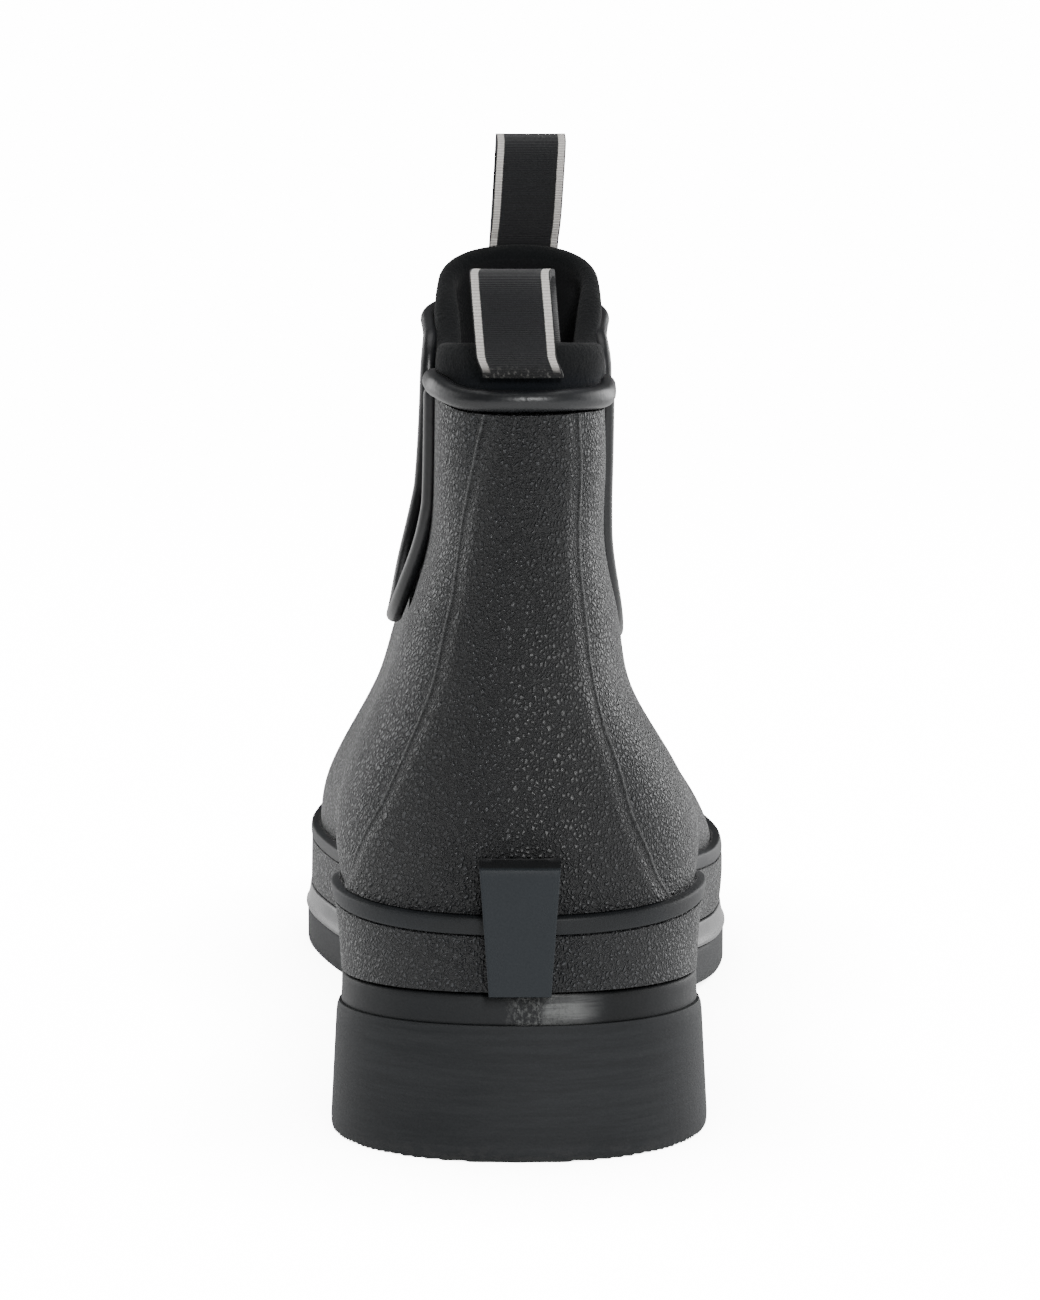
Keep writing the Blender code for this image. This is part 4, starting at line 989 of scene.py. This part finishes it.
def band(name, route, front, lean, node):
    """A band of the tape along a route: its two faces lie half a thickness to either side of
    the route's line, and its ends are closed. The map counts metres in from the nearer edge and
    along, and stays at the edge on the loop's inner face, which has no stripes."""
    run = unit(np.gradient(route, axis=0))
    side = 0.5 * WEBBING * np.stack((-run[:, 1], run[:, 0]), axis=-1)
    outer = tape_face(route - side, front, lean)
    inner = tape_face(route + side, front, lean)
    points = np.concatenate((outer, inner[:, ::-1]), axis=1)
    ends = 0.0 * points[[0, -1]] + np.mean(points[[0, -1]], axis=1, keepdims=True)
    from_edge = 0.5 * LOOP_WIDTH * (1 - np.abs(np.linspace(-1.0, 1.0, TAPE_COLUMNS + 1)))
    from_edge = np.concatenate((from_edge, 0.0 * from_edge))
    maps = np.stack(np.broadcast_arrays(from_edge, walked(route)[:, None]), axis=-1)
    made = grid(name, np.concatenate((ends[:1], points, ends[1:])), tape, around=True, sharp=0.9,
                maps=np.concatenate((maps[:1], maps, maps[-1:])))
    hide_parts(node)
    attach(made, "root")


tape = grosgrain()
near = 0.5 * SLEEVE_WALL + 2 * GAP + 0.5 * WEBBING
foot = REAR_RIM + 0.5 * REAR_BEAD + REAR_LOOP_FOOT
top = REAR_LOOP_TOP - 0.5 * WEBBING
flap, rise, out = REAR_FLAP - foot, top - REAR_FLAP, REAR_LOOP_BULGE - near
REAR_ROUTE = ((near, foot), (near + 0.30 * out, foot + 0.35 * flap),
              (near + 0.92 * out, REAR_FLAP + 0.08 * rise), (near + 0.80 * out, REAR_FLAP + 0.68 * rise),
              (0.15 * out, top), (-near - 0.35 * out, REAR_FLAP + 0.66 * rise),
              (-near - 0.25 * out, REAR_FLAP + 0.04 * rise), (-near, REAR_FLAP - 0.5 * REAR_LOOP_TAIL),
              (-near, REAR_FLAP - REAR_LOOP_TAIL))
rear_route = spline(range(len(REAR_ROUTE)), REAR_ROUTE)(np.linspace(0, len(REAR_ROUTE) - 1, TAPE_ROWS))
band("rear_loop", rear_route, False, REAR_LOOP_LEAN / (REAR_LOOP_TOP - foot), "pull_loop_rear")

tail = 0.5 * SLEEVE_WALL + 2 * GAP + WEBBING
foot = FRONT_RIM + 0.5 * FRONT_BEAD + 2 * GAP
low, high = FRONT_ARCH + 0.5 * WEBBING, FRONT_LOOP_TOP - 0.5 * WEBBING
angle = np.linspace(0.10 * pi, 1.90 * pi, TAPE_ROWS - 30)
wide = 0.5 * (FRONT_LOOP_OPEN + WEBBING) * np.sin(angle) * (1 - 0.30 * np.cos(angle))
drop = np.stack((tail - wide, 0.5 * (low + high) - 0.5 * (high - low) * np.cos(angle)), axis=-1)
up = np.linspace(foot, FRONT_ARCH - 0.0005, 15)[:, None]
legs = [np.concatenate((tail + way * 0.52 * WEBBING + 0.0 * up, up), axis=1) for way in (-1.0, 1.0)]
front_route = np.concatenate((legs[0], drop, legs[1][::-1]))[::-1]
band("front_loop", front_route, True, FRONT_LOOP_LEAN / (FRONT_LOOP_TOP - foot), "pull_loop_front")


# The rand
# A smooth strip of glossy rubber between foxing and outsole, flared a little at its foot. Where
# it was stuck on at the back of the heel, dried cement and rubbed marks are left on it, with a
# painted highlight in the cement's smear and a painted shadow beside it.

RAND_COLUMNS = 420
RAND_STEP = 0.0007
BREAST = BACK + HEEL_LENGTH
SMEAR_ACROSS = (0.0026, 0.0046, 0.0090, 0.0150)
CRUMBS_ACROSS = (-0.0040, 0.0010, 0.0060, 0.0120)
SHADOW_ACROSS = (0.0130, 0.0170, 0.0250, 0.0290)
PALE_CEMENT_AND_HIGHLIGHT = (0.170, 0.174, 0.172)


def sole_rim(u, margin):
    """Feather line pushed out level by a margin, at right angles to its own run."""
    line = skin(u, 0.0)
    run = skin(u + NUDGE, 0.0) - skin(u - NUDGE, 0.0)
    out = unit(np.stack((run[..., 1], -run[..., 0]), axis=-1))
    line[..., :2] += out * np.broadcast_to(margin, u.shape)[..., None]
    return line


def rand_points():
    """Section from the inside over the top edge and down the face, which flares more and more
    towards its foot and has a round lip. Round the heel it is drawn in flush with the block."""
    turn = np.arange(RAND_COLUMNS) / RAND_COLUMNS
    share = np.array((1.0, 1.0, 0.97, 0.90, 0.75, 0.60, 0.45, 0.32, 0.22, 0.15, 0.08, 0.03, 0.0, 0.0))
    reach = np.array((-0.012, -0.0006, -0.0002, 0.0, 0.0001, 0.00022, 0.0004, 0.0006, 0.00085, 0.00105,
                      0.00108, 0.0009, 0.0005, -0.012))
    flush = 1 - step(skin(turn, 0.0)[:, 1], BREAST - 0.006, BREAST + 0.018)
    rows = []
    for up, out in zip(share, reach):
        row = sole_rim(turn, SOLE_EDGE - RAND_STEP + out - (0.0003 + 0.85 * max(out, 0.0)) * flush)
        foot = underside(row[:, 1]) + OUTSOLE_THICKNESS + GAP * (1 - 0.8 * flush)
        row[:, 2] = foot + up * MIDSOLE_THICKNESS
        rows.append(row)
    return np.array(rows)[::-1]


def rand_rubber():
    """Black rubber, glossy along the foot and matt round the heel, where a smooth pale smear lies
    right of the middle, partly dried cement and partly a painted highlight, with rubbed crumbs
    left of it and a painted shadow right of it."""
    made = Finish("rand_rubber", Specular_IOR_Level=0.32)
    haze = made.noise(70.0, 5.0, 0.6)
    crumb = made.noise(1300.0, 4.0, 0.7, made.stretched(1.0, 1.0, 0.6))
    round_heel = 1 - made.step(made.y, 0.010, 0.045)
    behind = 1 - made.step(made.y, -0.034, -0.022)
    side = made.x + 0.004 * (made.noise(160.0, 3.0) - 0.5)
    streak = made.noise(900.0, 3.0, 0.6, made.stretched(0.06, 0.06, 1.0))
    # The pale smear is partly dried cement and partly a painted highlight, and it is glossier
    smear = behind * made.window(side, *SMEAR_ACROSS) * (0.35 + 0.65 * made.step(streak, 0.38, 0.60))
    rubbed = behind * made.window(side, *CRUMBS_ACROSS) * made.step(crumb, 0.44, 0.60)
    glossy = made.mix(haze, (0.0080, 0.0090, 0.0105), (0.0170, 0.0185, 0.0210))
    matt = made.mix(haze, (0.0065, 0.0073, 0.0084), (0.0120, 0.0132, 0.0150))
    black = made.mix(round_heel, glossy, matt)
    # Dark stretch right of the smear: a painted shadow
    black = made.mix(behind * made.window(side, *SHADOW_ACROSS), black, (0.0030, 0.0035, 0.0042))
    made.feed(Base_Color=made.mix((smear * 0.90).highest(rubbed * 0.60), black, PALE_CEMENT_AND_HIGHLIGHT),
              Roughness=0.24 + 0.18 * (haze - 0.4) + 0.34 * round_heel - 0.16 * smear,
              Normal=made.relief(haze + crumb * 0.8 * rubbed, 0.00022))
    return made.material


rand = grid("rand", rand_points(), rand_rubber(), along=True, around=True, sharp=0.9)
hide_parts("midsole")
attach(rand, "root")


# The outsole
# One moulding of matt charcoal rubber: heel block, shank and forefoot, with cross grooves in the
# tread and fine teeth along its lower edges.

HEEL_FLARE = 0.0013
BREAST_SLOPE = 0.0025
HEEL_BAR = 0.0100
TREAD_BAR = 0.0082
GROOVE_WIDTH = 0.0040
GROOVE_DEPTH = 0.0026
TREAD_BACK = 0.58
TREAD_FRONT = 0.965
TOOTH_PITCH = 0.0011
TOOTH_DEPTH = 0.0004
TOOTH_REACH = 0.0045
SOLE_STATIONS = 620


def groove_places():
    """Middle of each cross groove: even steps either side of the heel's middle, and even
    steps along the forefoot."""
    heel_pitch = HEEL_BAR + GROOVE_WIDTH
    beside = int((0.5 * HEEL_LENGTH - 0.5 * HEEL_BAR) // heel_pitch)
    heel = (np.arange(-beside, beside) + 0.5) * heel_pitch
    fore = np.arange(BACK + TREAD_BACK * LENGTH + GROOVE_WIDTH, BACK + TREAD_FRONT * LENGTH,
                     TREAD_BAR + GROOVE_WIDTH)
    return np.concatenate((heel, fore))


GROOVES = groove_places()


def tread_height(y, rim):
    """Bottom of the sole: the floor under the heel, the breast's slope, then the sheet's own
    line, raised in each groove by its depth and near the rim by the small teeth."""
    sheet = underside(y)
    ramp = np.clip((y - BREAST) / BREAST_SLOPE, 0.0, 1.0)
    ground = np.where(y < BREAST + BREAST_SLOPE, sheet * ramp, sheet)
    from_groove = np.min(np.abs(y[..., None] - GROOVES), axis=-1)
    groove = GROOVE_DEPTH * np.clip((0.5 * GROOVE_WIDTH - from_groove) / 0.0003, 0.0, 1.0)
    groove = groove * (1 - step(rim, 0.2, 0.8))
    tread = (y < BREAST - 0.001) | (y > BACK + TREAD_BACK * LENGTH)
    saw = np.abs((y / TOOTH_PITCH) % 1.0 - 0.5) * 2
    tooth = TOOTH_DEPTH * np.clip(2.2 * saw - 0.6, 0.0, 1.0) * rim * tread
    return ground + np.maximum(groove, tooth)


def outsole_points():
    """One closed section at each station along the foot: over the top from the inner to the
    outer side, down the outer wall, across the tread and up the inner wall."""
    y_even = np.linspace(0.0, 1.0, SOLE_STATIONS)
    edges = np.concatenate([GROOVES + way * 0.5 * GROOVE_WIDTH + nudge
                            for way in (-1, 1) for nudge in (-0.0003, -0.00005, 0.00025)])
    extra = np.concatenate((edges, (BREAST - 0.00002, BREAST, BREAST + BREAST_SLOPE)))
    extra = np.clip((extra - FOOT_BACK) / FOOT, 0.0, 1.0)
    dense = share_at(np.linspace(0.0, 0.5, 160))
    share = np.unique(np.concatenate((y_even, extra, dense)))
    u = turn_at(share)
    heel = np.where(FOOT_BACK + FOOT * share <= BREAST, HEEL_FLARE, 0.0)
    down = np.array((0.0, 0.04, 0.10, 0.30, 0.55, 0.80, 0.93, 0.98, 1.0))
    curve = np.array((-0.0004, -0.0001, 0.0, 0.0, 0.0, 0.0, 0.0, -0.0001, -0.0003))
    across = np.linspace(1.0, 0.0, 15)[1:-1]
    rows = []
    for way in (1, -1):
        turn = u if way > 0 else 1 - u
        wall = []
        for part, inset in zip(down, curve):
            rim = sole_rim(turn, SOLE_EDGE + heel * part + inset)
            top = underside(rim[:, 1]) + OUTSOLE_THICKNESS
            bottom = tread_height(rim[:, 1], 1.0)
            rim[:, 2] = top + (bottom - top) * part
            wall.append(rim)
        rows.append(np.array(wall))
    outer, inner = rows
    width = np.linalg.norm(outer[-1] - inner[-1], axis=1)
    floor = []
    for share_across in across:
        point = inner[-1] + (outer[-1] - inner[-1]) * share_across
        off = np.minimum(share_across, 1 - share_across) * width
        point[:, 2] = tread_height(point[:, 1], np.clip(2 - 2 * off / TOOTH_REACH, 0.0, 1.0))
        floor.append(point)
    lid = [inner[0] + (outer[0] - inner[0]) * part for part in (0.25, 0.5, 0.75)]
    for point in lid:
        point[:, 2] = underside(point[:, 1]) + OUTSOLE_THICKNESS
    ringed = np.concatenate((outer, np.array(floor), inner[::-1], np.array(lid)))
    return np.swapaxes(ringed, 0, 1)


def sole_rubber():
    """Matt charcoal rubber with faint level brush marks, cloudy bloom and a scuffed lower edge."""
    made = Finish("outsole_rubber", Specular_IOR_Level=0.25)
    brush = made.noise(620.0, 5.0, 0.7, made.stretched(0.07, 0.07, 1.0))
    cloud = made.noise(48.0, 4.0)
    scuff = made.noise(800.0, 3.0, 0.6, made.stretched(0.5, 0.5, 1.0))
    low = 1 - made.step(made.z, 0.0008, 0.0040)
    worn = low * made.step(scuff, 0.44, 0.60)
    streak = made.step(brush, 0.36, 0.66)
    tone = made.mix(cloud * 0.45 + streak * 0.55, (0.0130, 0.0143, 0.0158), (0.0275, 0.0295, 0.0318))
    made.feed(Base_Color=made.mix(worn * 0.5, tone, (0.045, 0.045, 0.046)),
              Roughness=0.66 + 0.16 * (brush - 0.5) + 0.10 * worn,
              Normal=made.relief(brush * 0.7 + scuff * 0.3, 0.00018))
    return made.material


outsole = grid("outsole_moulding", outsole_points(), sole_rubber(), around=True, sharp=0.6)
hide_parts("outsole")
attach(outsole, "root")


# The footbed
# A die-cut foam sheet faced with brushed cloth, loose inside the shell, its edge turned up a
# little against the wall.

INSOLE_THICKNESS = 0.0040


def footbed_points():
    """Section at each station: across the top with a shallow dish, then the edge and the
    underside; the width is the inside of the shell's wall less a gap."""
    u = turn_at(np.clip(share_at(np.linspace(0.0, 0.5, 180)), 1e-6, 1 - 1e-6))
    inside = -(WALL + 2 * GAP)
    sides = []
    for turn in (u, 1 - u):
        rims = []
        for height in (0.0, INSOLE_THICKNESS):
            rim = last(turn, above_seat(turn, height), inside)
            rim[:, 2] = seat(rim[:, 1]) + height
            rims.append(rim)
        sides.append(rims)
    (outer_low, outer_top), (inner_low, inner_top) = sides
    across = np.linspace(0.0, 1.0, 25)[:, None, None]
    upper = outer_top + (inner_top - outer_top) * across
    upper[..., 2] = seat(upper[..., 1]) + INSOLE_THICKNESS - 0.0009 * np.sin(pi * across[..., 0]) ** 0.8
    lower = inner_low + (outer_low - inner_low) * across
    lower[..., 2] = seat(lower[..., 1])
    return np.swapaxes(np.concatenate((upper, lower)), 0, 1)


def brushed_cloth():
    """Grey nap: fine noise for the hairs over broad noise for their lie."""
    made = Finish("footbed_cloth", Roughness=0.95, Specular_IOR_Level=0.2, Sheen_Weight=0.3)
    nap = made.noise(2200.0, 3.0)
    tone = made.noise(60.0, 3.0)
    made.feed(Base_Color=made.mix(nap * 0.5 + tone * 0.5, (0.018, 0.018, 0.020), (0.048, 0.048, 0.052)),
              Normal=made.relief(nap, 0.00025))
    return made.material


footbed = grid("footbed", footbed_points(), brushed_cloth(), around=True)
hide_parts("insole")
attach(footbed, "root")


# The heel tab
# A plain plate of slate-grey rubber, moulded apart and stuck over the strip, the rib and the back
# panel. It is left blank.

TAB_WIDTH = 0.0148
TAB_FOOT_WIDTH = 0.0113
TAB_HEIGHT = 0.0248
TAB_PROUD = 0.0050
TAB_ROUND = 0.0004
TAB_BEVEL = 0.0015


def tab_points():
    """Rows climb the plate, columns go across it: a flat face whose edges turn back on a small
    quarter round into walls that end on the layers below, and whose top slopes back."""
    bend = np.linspace(0.0, 0.5 * pi, 7)
    edge_in = np.concatenate(((0.0,), TAB_ROUND * (1 - np.cos(bend))))
    edge_back = np.concatenate(((TAB_PROUD,), TAB_ROUND * (1 - np.sin(bend))))
    flat = np.linspace(0.0, 1.0, 21)[1:-1]
    face = last(0.0, above_seat(0.0, TAB_HEIGHT))[1] - TAB_PROUD
    face_top = TAB_HEIGHT - TAB_BEVEL
    slope = np.linspace(0.0, 1.0, 6)
    face_rows = TAB_ROUND + (face_top - 0.0003 - TAB_ROUND) * flat
    rim_rows = (face_top - 0.0002, face_top - 0.00005)
    height = np.concatenate((edge_in, face_rows, rim_rows, face_top + TAB_BEVEL * slope, (TAB_HEIGHT,)))
    slope_back = 0.0002 + 0.8 * TAB_PROUD * slope
    height_back = np.concatenate((edge_back, 0.0 * flat, (0.00002, 0.0001), slope_back, (TAB_PROUD,)))
    width = TAB_FOOT_WIDTH + (TAB_WIDTH - TAB_FOOT_WIDTH) * height / TAB_HEIGHT
    face_columns = TAB_ROUND + (TAB_WIDTH - 2 * TAB_ROUND) * flat
    place = np.concatenate((edge_in, face_columns, (TAB_WIDTH - edge_in)[::-1]))
    place_back = np.concatenate((edge_back, 0.0 * flat, edge_back[::-1]))
    x = (place / TAB_WIDTH - 0.5) * width[:, None]
    deep = np.maximum(height_back[:, None], place_back)
    z = np.broadcast_to(seat(BACK) + height[:, None], x.shape)
    v = above_seat(0.0, height[:, None])
    rear = last(across_heel(x, v), v, STRIP_LIFT - 0.0003)[..., 1]
    y = np.minimum(face + deep, rear)
    y[(0, -1), :] = rear[(0, -1), :]
    y[:, (0, -1)] = rear[:, (0, -1)]
    return np.stack((x, y, z), axis=-1)


def slate_rubber():
    """Smooth matt slate rubber: a very fine bloom, a few soft rubbed marks, and a top bevel painted dark as
    shade.
    """
    made = Finish("slate_rubber_plate", Specular_IOR_Level=0.3)
    bloom = made.noise(2400.0)
    mark = made.noise(120.0, 4.0)
    face_top = seat(BACK) + TAB_HEIGHT - TAB_BEVEL
    # The top bevel above the face is painted dark: painted shade
    top = made.step(made.z, face_top + 0.0001, face_top + 0.0003)
    slate = made.mix(mark, (0.0118, 0.0153, 0.0192), (0.0170, 0.0214, 0.0262))
    made.feed(Base_Color=made.mix(top, slate, (0.0040, 0.0046, 0.0054)),
              Roughness=0.52 + 0.10 * (mark - 0.5), Normal=made.relief(bloom * 0.3 + mark, 0.00008))
    return made.material


tab = grid("heel_plate", tab_points()[::-1], slate_rubber(), sharp=0.9)
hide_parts("heel_tab")
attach(tab, "root")


# The studio
# A white floor that runs back out of sight, and white all round. Six soft lights: one behind the
# camera, one overhead, one on either side and two from ahead. The camera stands behind the heel.

CAMERA_HEIGHT = 0.165
CAMERA_BEHIND = 0.6365
CAMERA_PITCH = 6.78
FOCAL_PIXELS = 3385.0
IMAGE_LONG = 1300.0
SENSOR = 36.0

FLOOR_LINES = (-6.0, 0.0, 6.0)
FLOOR_DROP = 0.00002
SHOWN_WHITE = 15.0
MIRRORED_WHITE = 0.6
ROOM_LIGHT = 0.13


def studio_white(tree):
    """How bright the room is to a ray, in two parts: white where it is looked at, and light
    grey where it is mirrored in the rubber."""
    path = tree.nodes.new("ShaderNodeLightPath")
    looked_at, mirrored = (Wire(tree, path.outputs[name]) for name in ("Is Camera Ray", "Is Glossy Ray"))
    return looked_at * SHOWN_WHITE, mirrored * MIRRORED_WHITE


floor_finish = Finish("studio_floor", Base_Color=(0.90, 0.90, 0.90, 1.0), Roughness=0.7,
                      Specular_IOR_Level=0.1, Emission_Strength=1.0)
open_sky = floor_finish.node("ShaderNodeAmbientOcclusion", {"samples": 8}, {"Distance": 0.05}, "AO")
shown, mirrored = studio_white(floor_finish.tree)
# The floor's glow is dimmed by ambient occlusion near the boot: a painted contact shadow
floor_finish.feed(Emission_Color=shown * (0.30 + 0.70 * open_sky) + mirrored)
floor_x, floor_y = np.meshgrid(FLOOR_LINES, FLOOR_LINES)
floor_points = np.stack((floor_x, floor_y, 0.0 * floor_x - FLOOR_DROP), axis=-1)
floor = grid("floor", floor_points, floor_finish.material)

world = bpy.data.worlds.new("studio")
world.use_nodes = True
background = world.node_tree.nodes["Background"]
background.inputs["Color"].default_value = (1.0, 1.0, 1.0, 1.0)
shown, mirrored = studio_white(world.node_tree)
world.node_tree.links.new((shown + ROOM_LIGHT).socket, background.inputs["Strength"])
bpy.context.scene.world = world


def softbox(name, place, aim, width, height, power):
    """A rectangular light at a place, turned to its aim."""
    data = bpy.data.lights.new(name, "AREA")
    data.shape = "RECTANGLE"
    data.size = width
    data.size_y = height
    data.energy = power
    made = bpy.data.objects.new(name, data)
    made.location = place
    made.rotation_euler = (Vector(aim) - Vector(place)).to_track_quat("-Z", "Y").to_euler()
    bpy.context.collection.objects.link(made)


HEEL_MIDDLE = (0.0, 0.0, 0.08)
SHAFT_MIDDLE = (0.0, 0.05, 0.07)
softbox("light_behind", (0.26, -1.25, 0.72), HEEL_MIDDLE, 0.22, 0.42, 13.0)
softbox("light_top", (0.0, 0.10, 1.30), (0.0, 0.08, 0.06), 1.0, 1.0, 5.0)
softbox("light_left", (-1.05, 0.30, 0.45), SHAFT_MIDDLE, 0.9, 0.9, 5.0)
softbox("light_right", (1.05, 0.30, 0.45), SHAFT_MIDDLE, 0.9, 0.9, 6.8)
softbox("light_ahead_left", (-1.00, 1.10, 0.40), HEEL_MIDDLE, 0.7, 0.9, 6.5)
softbox("light_ahead_right", (1.00, 1.10, 0.40), HEEL_MIDDLE, 0.7, 0.9, 11.0)

camera_data = bpy.data.cameras.new("camera")
camera_data.sensor_width = SENSOR
camera_data.lens = SENSOR * FOCAL_PIXELS / IMAGE_LONG
camera_data.clip_start = 0.01
camera = bpy.data.objects.new("camera", camera_data)
camera.location = (0.0, -CAMERA_BEHIND, CAMERA_HEIGHT)
camera.rotation_euler = (radians(90.0 - CAMERA_PITCH), 0.0, 0.0)
bpy.context.collection.objects.link(camera)
bpy.context.scene.camera = camera
